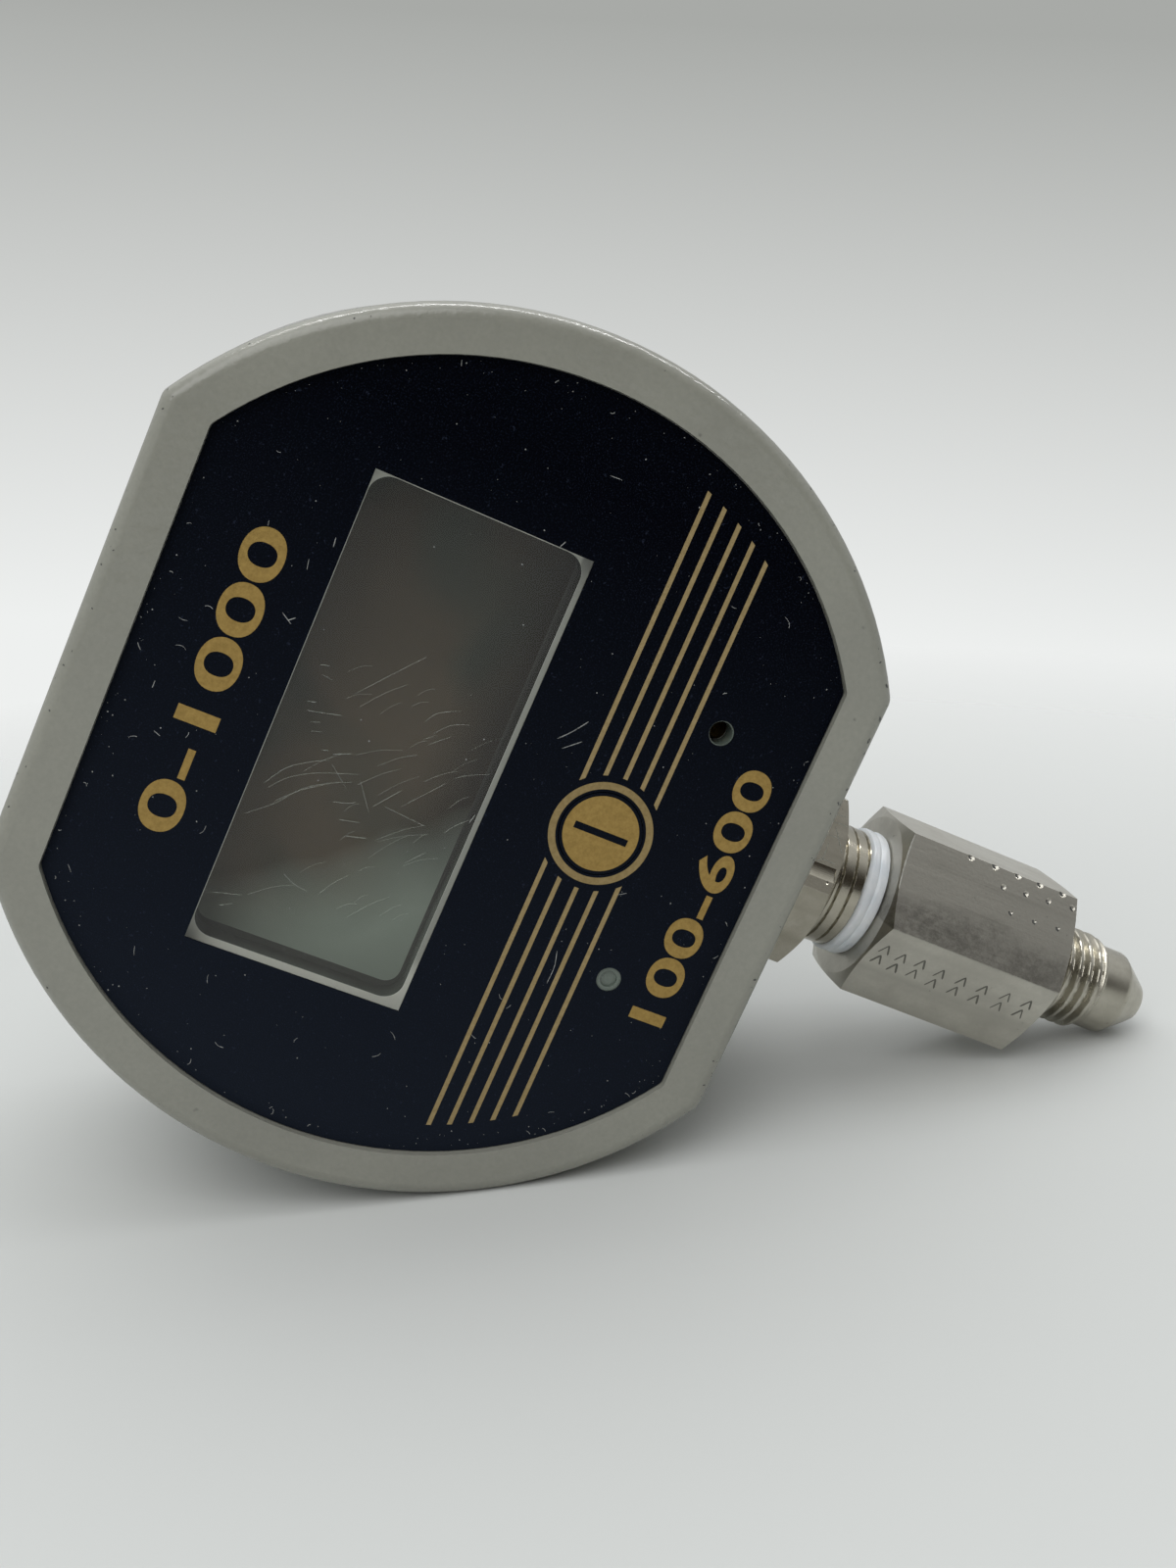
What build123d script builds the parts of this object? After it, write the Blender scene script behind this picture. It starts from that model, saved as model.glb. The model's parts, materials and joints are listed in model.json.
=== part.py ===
"""Digital pressure gauge with a tapered male port and a screwed-on flare adapter.

Millimetres. The gauge stands upright as it is used: +Z up, the display faces -Y, the
adapter points down. The origin is on the port's axis, where the flare thread meets the
adapter's hexagon. Depths are counted backwards from the front of the rim.
"""

import os
from math import cos, radians, sqrt, tan

from build123d import *

os.makedirs("parts", exist_ok=True)

# Case outline, seen from the front: a circle cut flat at the top and the bottom
case_radius = 42.93
case_flat = 36.58
case_corner = 1.6
case_wall = 2.5
case_depth = 41.9

# Bezel: rim, label seat, window seat and the skirt behind them
rim_width = 4.52
rim_flat_extra = 0.22
rim_round = 1.4
label_recess = 0.8
label_thickness = 0.25
label_corner = 1.0
label_clearance = 0.1
panel_thickness = 3.0
skirt_depth = 6.0
gasket_thickness = 0.5

# Window: the label's cut-out, the clear pane behind it and the opening below the pane.
# The margin runs from the window's upper corners to the label's round side
window_margin = 9.22
window_height = 21.56
window_rise = 6.47
pane_thickness = 2.5
pane_lap = 1.95
pane_clearance = 0.1
opening_inset = 0.2
opening_corner = 2.0
window_wall = 1.8
display_depth = 8.0

# Display: two glass plates with a film on each side, held by two rows of pins
film_thickness = 0.2
film_margin = 0.8
glass_overhang = 2.45
glass_lap = 1.72
glass_shelf = 1.5
glass_thickness = 1.1
pin_pitch = 2.54
pin_width = 0.5
pin_gauge = 0.25
pin_jaw = 1.1
pin_foot = 1.0

# Power button and its switch
button_drop = 15.47
button_radius = 4.06
button_clearance = 0.1
button_flange = 1.1
button_flange_thickness = 1.0
button_wall = 1.1
button_stem_radius = 1.6
button_travel = 0.3
switch_side = 6.0
switch_height = 3.5
plunger_radius = 1.75
plunger_clearance = 0.1
plunger_rise = 0.5
plunger_length = 2.2
switch_overtravel = 0.2

# Trimmer hole on the right and the blank dimple on the left
adjuster_spread = 13.33
adjuster_drop = 22.3
label_hole_radius = 1.25
access_radius = 1.15
guide_wall = 1.4
guide_gap = 0.4
dimple_radius = 0.85
dimple_depth = 0.35
trimmer_side = 6.6
trimmer_height = 4.4
rotor_radius = 2.5
rotor_thickness = 1.8
rotor_rise = 0.2
rotor_clearance = 0.1
rotor_slot_width = 0.6
rotor_slot_depth = 0.7
rotor_shaft_radius = 0.8
rotor_shaft_length = 1.6
shaft_clearance = 0.08

# Circuit board on four posts of the bezel, with a notch round the sensor capsule
board_depth = 13.5
board_thickness = 1.6
board_gap = 0.4
board_half_height = 27.0
board_corner = 1.5
notch_gap = 0.85
post_inset_x = 1.9
post_inset_z = 3.0
post_radius = 2.5
board_screw_radius = 0.95
board_screw_length = 7.0
board_screw_head_radius = 1.9
board_screw_head_height = 1.3
thread_clearance = 0.05
screw_hole_clearance = 0.25

# Components on the board: places right of and above the case centre, insets from the board's
# left edge for the crystal and from its right and left edges for the two capacitors
controller_place = (-9.0, 7.0)
controller_side = 10.0
controller_height = 1.5
controller_leads = 8
lead_pitch = 1.0
lead_width = 0.4
lead_reach = 1.0
lead_thickness = 0.3
amplifier_place = (-9.0, -20.5)
amplifier_size = (5.0, 4.0, 1.5)
amplifier_leads = 4
amplifier_lead_pitch = 1.2
crystal_inset = 7.4
crystal_drop = 12.5
crystal_length = 10.2
crystal_width = 4.4
crystal_height = 3.4
capacitor_insets = (8.4, 8.9)
capacitor_drops = (13.0, 20.0)
capacitor_radius = 2.5
capacitor_height = 5.2
capacitor_base = 5.3
capacitor_base_height = 1.1
resistor_places = [(7.8, -21.5), (7.8, -24.0), (-5.6, -11.0), (-5.6, -13.5), (6.0, -10.8), (9.5, -10.8)]
resistor_size = (2.0, 1.25, 0.5)

# Long screws that clamp cover, case and bezel
cover_thickness = 3.0
cover_chamfer = 1.0
clamp_inset = 5.68
clamp_half_spacing_z = 18.2
clamp_port_radius = 3.2
clamp_screw_radius = 1.45
clamp_head_radius = 2.8
clamp_head_height = 1.6
clamp_head_clearance = 0.3
clamp_head_chamfer = 0.5
clamp_head_seat = 1.5
clamp_thread_depth = 3.4
screw_port_slot = 1.6
cross_width = 0.7
cross_length = 3.0
cross_depth = 0.9

# Two cells in a tray behind the board
cell_radius = 7.25
cell_nub_radius = 2.75
cell_nub_length = 1.3
cell_spacing = 0.5
cell_clearance = 0.15
tray_rise = 9.5
tray_stand = 2.0
tray_floor = 1.5
tray_wall = 1.5
tray_margin = 0.55
tray_depth = 11.5
tray_side_gap = 0.35
tray_foot_radius = 2.0
tray_foot_spacing_x = 36.0
tray_foot_spacing_z = 20.0
contact_side = 9.0
contact_thickness = 0.4
contact_room = 1.6
contact_leg_width = 2.0
contact_bow_width = 5.0
contact_pip_radius = 2.0
leg_slot_clearance = 0.3
pad_inset = 2.6
pad_height = 26.0
pad_gap = 0.2

# Pressure port through the bottom wall
port_hex = 19.05
port_hex_height = 7.42
port_hex_turn = -25.5
port_face_radius = 9.6
port_chamfer_angle = 30.0
thread_showing = 6.9
npt_radius = 6.85
npt_taper = 1 / 32
npt_length = 14.6
npt_chamfer = 0.8
bore_radius = 2.2
shank_radius = 6.0
shank_clearance = 0.15
shank_past_nut = 0.88
shank_chamfer = 0.5
seal_inner_gap = 1.2
seal_width = 1.4
seal_height = 0.8
washer_radius = 8.6
washer_thickness = 0.8
port_nut_hex = 17.0
port_nut_height = 4.5
port_nut_chamfer = 0.5

# Sensor capsule screwed into the top of the port
sensor_radius = 5.0
sensor_height = 7.0
sensor_edge = 0.5
sensor_stub_radius = 3.0
sensor_stub_length = 5.0
sensor_fit = 0.05
sensor_seal_inner = 3.5
sensor_seal_width = 1.0
sensor_seal_height = 0.7
sensor_lead_width = 0.6
sensor_lead_spread = 1.27
sensor_lead_rise = 2.6
sensor_lead_bend = 1.5

# Sealing tape and flare adapter
tape_length = 2.35
tape_radius = 7.15
tape_valley = 6.95
tape_slope = 0.35
adapter_hex = 19.05
adapter_hex_length = 22.0
adapter_hex_turn = 30.0
adapter_face_radius = 9.2
adapter_chamfer_angle = 18.0
adapter_thread_depth = 9.5
adapter_drill_cone = 1.6
flare_thread_radius = 5.556
flare_thread_length = 7.9
flare_thread_chamfer = 0.5
nose_radius = 4.87
nose_length = 3.2
flare_length = 3.5
flare_half_angle = 37.0

# Heights above the origin and depths from the rim that follow from the sizes above
port_hex_z = adapter_hex_length + thread_showing
case_bottom_z = port_hex_z + port_hex_height
centre_z = case_bottom_z + case_flat
clamp_half_spacing_x = sqrt((case_radius - clamp_inset) ** 2 - clamp_half_spacing_z**2)
label_seat = label_recess + label_thickness
panel_back = label_seat + panel_thickness
pane_seat = label_seat + pane_thickness
case_front = skirt_depth + gasket_thickness
cover_front = case_depth - cover_thickness
case_back = cover_front - gasket_thickness
window_reach = case_radius - rim_width - window_margin
window_width = 2 * sqrt(window_reach**2 - (window_rise + window_height / 2) ** 2)
window_z = centre_z + window_rise
button_z = centre_z - button_drop
adjuster_z = centre_z - adjuster_drop
board_back = board_depth + board_thickness
board_half_width = clamp_half_spacing_x - clamp_port_radius - board_gap
post_half_spacing_x = board_half_width - post_inset_x
post_half_spacing_z = board_half_height - post_inset_z
crystal_place = (crystal_inset - board_half_width, -crystal_drop)
capacitor_places = [
    (board_half_width - capacitor_insets[0], -capacitor_drops[0]),
    (capacitor_insets[1] - board_half_width, -capacitor_drops[1]),
]
opening_width = window_width - 2 * opening_inset
opening_height = window_height - 2 * opening_inset
pane_width = window_width + 2 * pane_lap
pane_height = window_height + 2 * pane_lap
glass_width = window_width + 2 * glass_overhang
front_glass_height = window_height + 2 * glass_lap
rear_glass_height = front_glass_height + 2 * glass_shelf
glass_front = display_depth + film_thickness
glass_middle = glass_front + glass_thickness
glass_back = glass_middle + glass_thickness
plunger_top = board_depth - switch_height - plunger_rise
rotor_face = board_depth - trimmer_height - rotor_rise
tray_floor_back = board_back + tray_stand + tray_floor
cell_axis_depth = tray_floor_back + cell_clearance + cell_radius
tray_inner_half = board_half_width - tray_margin - tray_wall
cell_half = tray_inner_half - contact_room
cell_length = 2 * cell_half - cell_nub_length
cell_pitch = 2 * cell_radius + cell_spacing
tray_inner_height = cell_pitch + 2 * (cell_radius + tray_side_gap)
wall_inside_z = case_bottom_z + case_wall
nut_bottom_z = wall_inside_z + washer_thickness
shank_top_z = nut_bottom_z + port_nut_height + shank_past_nut
sensor_top_z = shank_top_z + sensor_height
npt_bottom_z = port_hex_z - npt_length


def front(depth, x=0.0, z=centre_z):
    """Plane seen from the front, a given depth behind the rim: local x is +X, local y is +Z."""
    return Plane(origin=(x, depth - case_depth / 2, z), x_dir=(1, 0, 0), z_dir=(0, -1, 0))


def level(z):
    """Horizontal plane on the port's axis."""
    return Plane.XY.offset(z)


def outline(inset=0.0, corner=case_corner, flat_extra=0.0):
    """Case outline drawn in by an inset, and a little more at the flats."""
    with BuildSketch() as shape:
        Circle(case_radius - inset)
        Rectangle(2 * case_radius, 2 * (case_flat - inset - flat_extra), mode=Mode.INTERSECT)
        if corner:
            fillet(shape.vertices(), corner)
    return shape.sketch


def npt_radius_at(z, clearance=0.0):
    """Radius of the tapered male thread at a height, with a clearance for the female one."""
    return npt_radius - (port_hex_z - z) * npt_taper + clearance


def hexagon_radius(across_flats):
    """Corner radius of a hexagon."""
    return across_flats / 2 / cos(radians(30))


clamp_places = GridLocations(2 * clamp_half_spacing_x, 2 * clamp_half_spacing_z, 2, 2)
post_places = GridLocations(2 * post_half_spacing_x, 2 * post_half_spacing_z, 2, 2)
slot_places = GridLocations(2 * (clamp_half_spacing_x - clamp_port_radius), 2 * clamp_half_spacing_z, 2, 2)

# Bezel
with BuildPart() as bezel:
    with BuildSketch(front(0)):
        add(outline())
    extrude(amount=-skirt_depth)
    rim_edges = bezel.faces().sort_by(Axis.Y)[0].outer_wire().edges()
    fillet(rim_edges, rim_round)
    with BuildSketch(front(panel_back)):
        add(outline(case_wall))
    extrude(amount=-(skirt_depth - panel_back), mode=Mode.SUBTRACT)
    with BuildSketch(front(0)):
        add(outline(rim_width, label_corner, rim_flat_extra))
    extrude(amount=-label_seat, mode=Mode.SUBTRACT)
    with BuildSketch(front(panel_back, z=window_z)):
        RectangleRounded(opening_width + 2 * window_wall, opening_height + 2 * window_wall, opening_corner)
    extrude(amount=-(display_depth - panel_back))
    with BuildSketch(front(label_seat, z=window_z)):
        RectangleRounded(pane_width + 2 * pane_clearance, pane_height + 2 * pane_clearance, label_corner)
    extrude(amount=-pane_thickness, mode=Mode.SUBTRACT)
    with BuildSketch(front(pane_seat, z=window_z)):
        RectangleRounded(opening_width, opening_height, opening_corner)
    extrude(amount=-(display_depth - pane_seat), mode=Mode.SUBTRACT)
    with BuildSketch(front(panel_back)):
        with post_places:
            Circle(post_radius)
    extrude(amount=-(board_depth - panel_back))
    with BuildSketch(front(panel_back)):
        with clamp_places:
            Circle(clamp_port_radius)
    extrude(amount=-(skirt_depth - panel_back))
    with BuildSketch(front(board_depth)):
        with post_places:
            Circle(board_screw_radius + thread_clearance)
    extrude(amount=board_screw_length, mode=Mode.SUBTRACT)
    with BuildSketch(front(skirt_depth)):
        with clamp_places:
            Circle(clamp_screw_radius + thread_clearance)
    extrude(amount=clamp_thread_depth + thread_clearance, mode=Mode.SUBTRACT)
    with BuildSketch(front(label_seat, z=button_z)):
        Circle(button_radius + button_clearance)
    extrude(amount=-panel_thickness, mode=Mode.SUBTRACT)
    with BuildSketch(front(panel_back, x=adjuster_spread, z=adjuster_z)):
        Circle(access_radius + guide_wall)
    extrude(amount=-(rotor_face - guide_gap - panel_back))
    with BuildSketch(front(label_seat, x=adjuster_spread, z=adjuster_z)):
        Circle(access_radius)
    extrude(amount=-(rotor_face - guide_gap - label_seat), mode=Mode.SUBTRACT)
    with BuildSketch(front(label_seat, x=-adjuster_spread, z=adjuster_z)):
        Circle(dimple_radius)
    extrude(amount=-dimple_depth, mode=Mode.SUBTRACT)
bezel.part.label = "bezel"

# Printed label with its cut-outs
with BuildPart() as face_label:
    with BuildSketch(front(label_recess)):
        add(outline(rim_width + label_clearance, label_corner, rim_flat_extra))
        with Locations((0, window_rise)):
            Rectangle(window_width, window_height, mode=Mode.SUBTRACT)
        with Locations((0, -button_drop)):
            Circle(button_radius + button_clearance, mode=Mode.SUBTRACT)
        with Locations((adjuster_spread, -adjuster_drop), (-adjuster_spread, -adjuster_drop)):
            Circle(label_hole_radius, mode=Mode.SUBTRACT)
    extrude(amount=-label_thickness)
face_label.part.label = "face_label"

# Clear pane on the bezel's ledge
with BuildPart() as window_pane:
    with BuildSketch(front(label_seat, z=window_z)):
        RectangleRounded(pane_width, pane_height, label_corner - pane_clearance)
    extrude(amount=-pane_thickness)
window_pane.part.label = "window_pane"

# Case: an extrusion with a screw port at each clamp screw
with BuildPart() as case:
    with BuildSketch(front(case_front)):
        add(outline())
        add(outline(case_wall), mode=Mode.SUBTRACT)
    extrude(amount=-(case_back - case_front))
    with BuildSketch(front(case_front)):
        with clamp_places:
            Circle(clamp_port_radius)
        add(outline(case_wall / 2), mode=Mode.INTERSECT)
        with clamp_places:
            Circle(clamp_screw_radius + screw_hole_clearance, mode=Mode.SUBTRACT)
        with slot_places:
            Rectangle(2 * clamp_port_radius, screw_port_slot, mode=Mode.SUBTRACT)
    extrude(amount=-(case_back - case_front))
    with BuildSketch(level(case_bottom_z)):
        Circle(shank_radius + shank_clearance)
    extrude(amount=case_wall, mode=Mode.SUBTRACT)
case.part.label = "case"


# Gaskets in front of and behind the case: rings as wide as its wall
with BuildPart() as front_gasket:
    with BuildSketch(front(skirt_depth)):
        add(outline())
        add(outline(case_wall), mode=Mode.SUBTRACT)
    extrude(amount=-gasket_thickness)
front_gasket.part.label = "front_gasket"

with BuildPart() as rear_gasket:
    with BuildSketch(front(case_back)):
        add(outline())
        add(outline(case_wall), mode=Mode.SUBTRACT)
    extrude(amount=-gasket_thickness)
rear_gasket.part.label = "rear_gasket"

# Back cover with a counterbore for each clamp screw
with BuildPart() as back_cover:
    with BuildSketch(front(cover_front)):
        add(outline())
    extrude(amount=-cover_thickness)
    cover_edges = back_cover.faces().sort_by(Axis.Y)[-1].outer_wire().edges()
    chamfer(cover_edges, cover_chamfer)
    with BuildSketch(front(cover_front)):
        with clamp_places:
            Circle(clamp_screw_radius + screw_hole_clearance)
    extrude(amount=-cover_thickness, mode=Mode.SUBTRACT)
    with BuildSketch(front(case_depth)):
        with clamp_places:
            Circle(clamp_head_radius + clamp_head_clearance)
    extrude(amount=clamp_head_seat, mode=Mode.SUBTRACT)
back_cover.part.label = "back_cover"

# Clamp screws with a cross recess
clamp_seat = case_depth - clamp_head_seat
with BuildPart() as cover_screws:
    with BuildSketch(front(clamp_seat)):
        with clamp_places:
            Circle(clamp_screw_radius)
    extrude(amount=clamp_seat - skirt_depth + clamp_thread_depth)
    with BuildSketch(front(clamp_seat)):
        with clamp_places:
            Circle(clamp_head_radius)
    extrude(amount=-clamp_head_height)
    head_faces = cover_screws.faces().filter_by(Axis.Y).group_by(Axis.Y)[-1]
    chamfer(head_faces.edges(), clamp_head_chamfer)
    with BuildSketch(front(clamp_seat + clamp_head_height)):
        with clamp_places:
            Rectangle(cross_length, cross_width)
            Rectangle(cross_width, cross_length)
    extrude(amount=cross_depth, mode=Mode.SUBTRACT)
cover_screws.part.label = "cover_screws"

# Display films and glass
with BuildPart() as lcd_polariser:
    with BuildSketch(front(display_depth, z=window_z)):
        Rectangle(glass_width - 2 * film_margin, front_glass_height - 2 * film_margin)
    extrude(amount=-film_thickness)
lcd_polariser.part.label = "lcd_polariser"

with BuildPart() as lcd_front_glass:
    with BuildSketch(front(glass_front, z=window_z)):
        Rectangle(glass_width, front_glass_height)
    extrude(amount=-glass_thickness)
lcd_front_glass.part.label = "lcd_front_glass"

with BuildPart() as lcd_rear_glass:
    with BuildSketch(front(glass_middle, z=window_z)):
        Rectangle(glass_width, rear_glass_height)
    extrude(amount=-glass_thickness)
lcd_rear_glass.part.label = "lcd_rear_glass"

with BuildPart() as lcd_reflector:
    with BuildSketch(front(glass_back, z=window_z)):
        Rectangle(glass_width - 2 * film_margin, front_glass_height - 2 * film_margin)
    extrude(amount=-film_thickness)
lcd_reflector.part.label = "lcd_reflector"

# Display pins: each hooks over the rear glass and stands with a foot on the board
pin_count = int((glass_width - pin_width) / pin_pitch)
pin_x0 = -(pin_count - 1) * pin_pitch / 2
pin_spine = rear_glass_height / 2 + pin_gauge / 2
with BuildPart() as lcd_pins:
    for side in (1, -1):
        pin_plane = Plane(
            origin=(pin_x0 - pin_width / 2, -case_depth / 2, window_z), x_dir=(0, 1, 0), z_dir=(1, 0, 0)
        )
        with BuildSketch(pin_plane) as pin_face:
            with BuildLine():
                Polyline(
                    (glass_middle - pin_gauge / 2, side * (pin_spine - pin_jaw)),
                    (glass_middle - pin_gauge / 2, side * pin_spine),
                    (board_depth - pin_gauge / 2, side * pin_spine),
                    (board_depth - pin_gauge / 2, side * (pin_spine + pin_foot)),
                )
            trace(line_width=pin_gauge)
        with Locations(*[(index * pin_pitch, 0, 0) for index in range(pin_count)]):
            add(extrude(pin_face.sketch, amount=pin_width, dir=(1, 0, 0), mode=Mode.PRIVATE))
lcd_pins.part.label = "lcd_pins"

# Power button: a cap with a flange behind the panel and a stem to the switch
with BuildPart() as power_button:
    with BuildSketch(front(label_recess, z=button_z)):
        Circle(button_radius)
    extrude(amount=-(panel_back - label_recess))
    with BuildSketch(front(panel_back, z=button_z)):
        Circle(button_radius + button_flange)
    extrude(amount=-button_flange_thickness)
    with BuildSketch(front(panel_back + button_flange_thickness, z=button_z)):
        Circle(button_radius - button_wall)
    extrude(amount=panel_back + button_flange_thickness - label_recess - button_wall, mode=Mode.SUBTRACT)
    with BuildSketch(front(label_recess + button_wall, z=button_z)):
        Circle(button_stem_radius)
    extrude(amount=-(plunger_top - label_recess - button_wall))
power_button.part.label = "power_button"

# Switch on the board, with a pocket for its plunger
with BuildPart() as switch_body:
    with BuildSketch(front(board_depth, z=button_z)):
        Rectangle(switch_side, switch_side)
    extrude(amount=switch_height)
    with BuildSketch(front(board_depth - switch_height, z=button_z)):
        Circle(plunger_radius + plunger_clearance)
    extrude(amount=-(plunger_length - plunger_rise + button_travel + switch_overtravel), mode=Mode.SUBTRACT)
switch_body.part.label = "switch_body"

with BuildPart() as switch_plunger:
    with BuildSketch(front(plunger_top, z=button_z)):
        Circle(plunger_radius)
    extrude(amount=-plunger_length)
switch_plunger.part.label = "switch_plunger"

# Trimmer: a square body and a slotted rotor on a short shaft
trimmer_top = board_depth - trimmer_height
rotor_back = rotor_face + rotor_thickness
with BuildPart() as trimmer_body:
    with BuildSketch(front(board_depth, x=adjuster_spread, z=adjuster_z)):
        Rectangle(trimmer_side, trimmer_side)
    extrude(amount=trimmer_height)
    with BuildSketch(front(trimmer_top, x=adjuster_spread, z=adjuster_z)):
        Circle(rotor_radius + rotor_clearance)
    extrude(amount=-(rotor_back + rotor_clearance - trimmer_top), mode=Mode.SUBTRACT)
    with BuildSketch(front(rotor_back, x=adjuster_spread, z=adjuster_z)):
        Circle(rotor_shaft_radius + shaft_clearance)
    extrude(amount=-(rotor_shaft_length + rotor_clearance), mode=Mode.SUBTRACT)
trimmer_body.part.label = "trimmer_body"

with BuildPart() as trimmer_rotor:
    with BuildSketch(front(rotor_face, x=adjuster_spread, z=adjuster_z)):
        Circle(rotor_radius)
    extrude(amount=-rotor_thickness)
    with BuildSketch(front(rotor_face, x=adjuster_spread, z=adjuster_z)):
        Rectangle(2 * rotor_radius, rotor_slot_width)
    extrude(amount=-rotor_slot_depth, mode=Mode.SUBTRACT)
    with BuildSketch(front(rotor_back, x=adjuster_spread, z=adjuster_z)):
        Circle(rotor_shaft_radius)
    extrude(amount=-rotor_shaft_length)
trimmer_rotor.part.label = "trimmer_rotor"

# Circuit board
notch_half_width = sensor_radius + notch_gap
notch_top = sensor_top_z + notch_gap - centre_z
with BuildPart() as circuit_board:
    with BuildSketch(front(board_depth)):
        RectangleRounded(2 * board_half_width, 2 * board_half_height, board_corner)
        with Locations((0, notch_top)):
            Rectangle(
                2 * notch_half_width,
                board_half_height + notch_top,
                align=(Align.CENTER, Align.MAX),
                mode=Mode.SUBTRACT,
            )
        with post_places:
            Circle(board_screw_radius + screw_hole_clearance, mode=Mode.SUBTRACT)
    extrude(amount=-board_thickness)
circuit_board.part.label = "circuit_board"

with BuildPart() as board_screws:
    with BuildSketch(front(board_back)):
        with post_places:
            Circle(board_screw_radius)
    extrude(amount=board_screw_length - thread_clearance)
    with BuildSketch(front(board_back)):
        with post_places:
            Circle(board_screw_head_radius)
    extrude(amount=-board_screw_head_height)
    with BuildSketch(front(board_back + board_screw_head_height)):
        with post_places:
            Rectangle(2 * board_screw_radius, cross_width / 2)
            Rectangle(cross_width / 2, 2 * board_screw_radius)
    extrude(amount=board_screw_head_height / 2, mode=Mode.SUBTRACT)
board_screws.part.label = "board_screws"

# Controller chip: leads on all four sides
controller_row = (controller_leads - 1) * lead_pitch / 2
with BuildPart() as controller_chip:
    with BuildSketch(front(board_depth)):
        with Locations(controller_place):
            Rectangle(controller_side, controller_side)
    extrude(amount=controller_height)
    with BuildSketch(front(board_depth)):
        with Locations(controller_place):
            with GridLocations(lead_pitch, 0, controller_leads, 1):
                Rectangle(lead_width, controller_side + 2 * lead_reach)
            with GridLocations(0, lead_pitch, 1, controller_leads):
                Rectangle(controller_side + 2 * lead_reach, lead_width)
    extrude(amount=lead_thickness)
controller_chip.part.label = "controller_chip"

# Amplifier chip: leads on two sides
with BuildPart() as amplifier_chip:
    with BuildSketch(front(board_depth)):
        with Locations(amplifier_place):
            Rectangle(amplifier_size[0], amplifier_size[1])
    extrude(amount=amplifier_size[2])
    with BuildSketch(front(board_depth)):
        with Locations(amplifier_place):
            with GridLocations(amplifier_lead_pitch, 0, amplifier_leads, 1):
                Rectangle(lead_width, amplifier_size[1] + 2 * lead_reach)
    extrude(amount=lead_thickness)
amplifier_chip.part.label = "amplifier_chip"

with BuildPart() as crystal:
    with BuildSketch(front(board_depth)):
        with Locations(crystal_place):
            SlotOverall(crystal_length, crystal_width)
    extrude(amount=crystal_height)
crystal.part.label = "crystal"

with BuildPart() as capacitors:
    with BuildSketch(front(board_depth)):
        with Locations(*capacitor_places):
            Rectangle(capacitor_base, capacitor_base)
    extrude(amount=capacitor_base_height)
    with BuildSketch(front(board_depth - capacitor_base_height)):
        with Locations(*capacitor_places):
            Circle(capacitor_radius)
    extrude(amount=capacitor_height - capacitor_base_height)
capacitors.part.label = "capacitors"

with BuildPart() as chip_resistors:
    with BuildSketch(front(board_depth)):
        with Locations(*resistor_places):
            Rectangle(resistor_size[0], resistor_size[1])
    extrude(amount=resistor_size[2])
chip_resistors.part.label = "chip_resistors"

# Battery tray: open at the back, on four feet
with BuildPart() as battery_holder:
    with BuildSketch(front(board_back + tray_stand)):
        with Locations((0, tray_rise)):
            Rectangle(2 * (tray_inner_half + tray_wall), tray_inner_height + 2 * tray_wall)
    extrude(amount=-(tray_floor + tray_depth))
    with BuildSketch(front(tray_floor_back)):
        with Locations((0, tray_rise)):
            Rectangle(2 * tray_inner_half, tray_inner_height)
    extrude(amount=-tray_depth, mode=Mode.SUBTRACT)
    with BuildSketch(front(board_back)):
        with Locations((0, tray_rise)):
            with GridLocations(tray_foot_spacing_x, tray_foot_spacing_z, 2, 2):
                Circle(tray_foot_radius)
    extrude(amount=-tray_stand)
    with BuildSketch(front(board_back + tray_stand)):
        with Locations((0, tray_rise)):
            with GridLocations(2 * tray_inner_half - contact_thickness, cell_pitch, 2, 2):
                Rectangle(contact_thickness + leg_slot_clearance, contact_leg_width + leg_slot_clearance)
    extrude(amount=-tray_floor, mode=Mode.SUBTRACT)
battery_holder.part.label = "battery_holder"

# Contacts: a plate with a leg at each cell end, and a bowed strip at the flat ends
contact_axis = cell_axis_depth - case_depth / 2
leg_length = cell_axis_depth - board_back
bow_room = contact_room - contact_thickness
bow_half = contact_side / 2 - contact_thickness
with BuildPart() as battery_contacts:
    for side in (1, -1):
        for row in (1, -1):
            row_z = centre_z + tray_rise + row * cell_pitch / 2
            plate_plane = Plane(origin=(side * tray_inner_half, 0, 0), x_dir=(0, 1, 0), z_dir=(1, 0, 0))
            with BuildSketch(plate_plane):
                with Locations((contact_axis, row_z)):
                    Rectangle(contact_side, contact_side)
                with Locations((contact_axis - leg_length / 2, row_z)):
                    Rectangle(leg_length, contact_leg_width)
            extrude(amount=-side * contact_thickness)
        pip_z = centre_z + tray_rise + side * cell_pitch / 2
        with BuildSketch(plate_plane):
            with Locations((contact_axis, pip_z)):
                Circle(contact_pip_radius)
        extrude(amount=-side * contact_room)
        bow_z = centre_z + tray_rise - side * cell_pitch / 2
        bow_x = side * (tray_inner_half - contact_thickness)
        with BuildSketch(Plane(origin=(0, contact_axis, bow_z - contact_bow_width / 2))):
            with BuildLine():
                ThreePointArc(
                    (bow_x, -bow_half),
                    (bow_x - side * (bow_room - contact_thickness / 2), 0),
                    (bow_x, bow_half),
                )
            trace(line_width=contact_thickness)
        extrude(amount=contact_bow_width)
battery_contacts.part.label = "battery_contacts"


def cell_plane(row, side):
    """Plane at the flat end of a cell, looking along the cell towards its nub."""
    origin = (-side * cell_half, contact_axis, centre_z + tray_rise + row * cell_pitch / 2)
    return Plane(origin=origin, z_dir=(side, 0, 0))


# Cells lie head to tail
with BuildPart() as battery_cell_upper:
    with BuildSketch(cell_plane(1, 1)):
        Circle(cell_radius)
    extrude(amount=cell_length)
    with BuildSketch(cell_plane(1, 1).offset(cell_length)):
        Circle(cell_nub_radius)
    extrude(amount=cell_nub_length)
battery_cell_upper.part.label = "battery_cell_upper"

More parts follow.
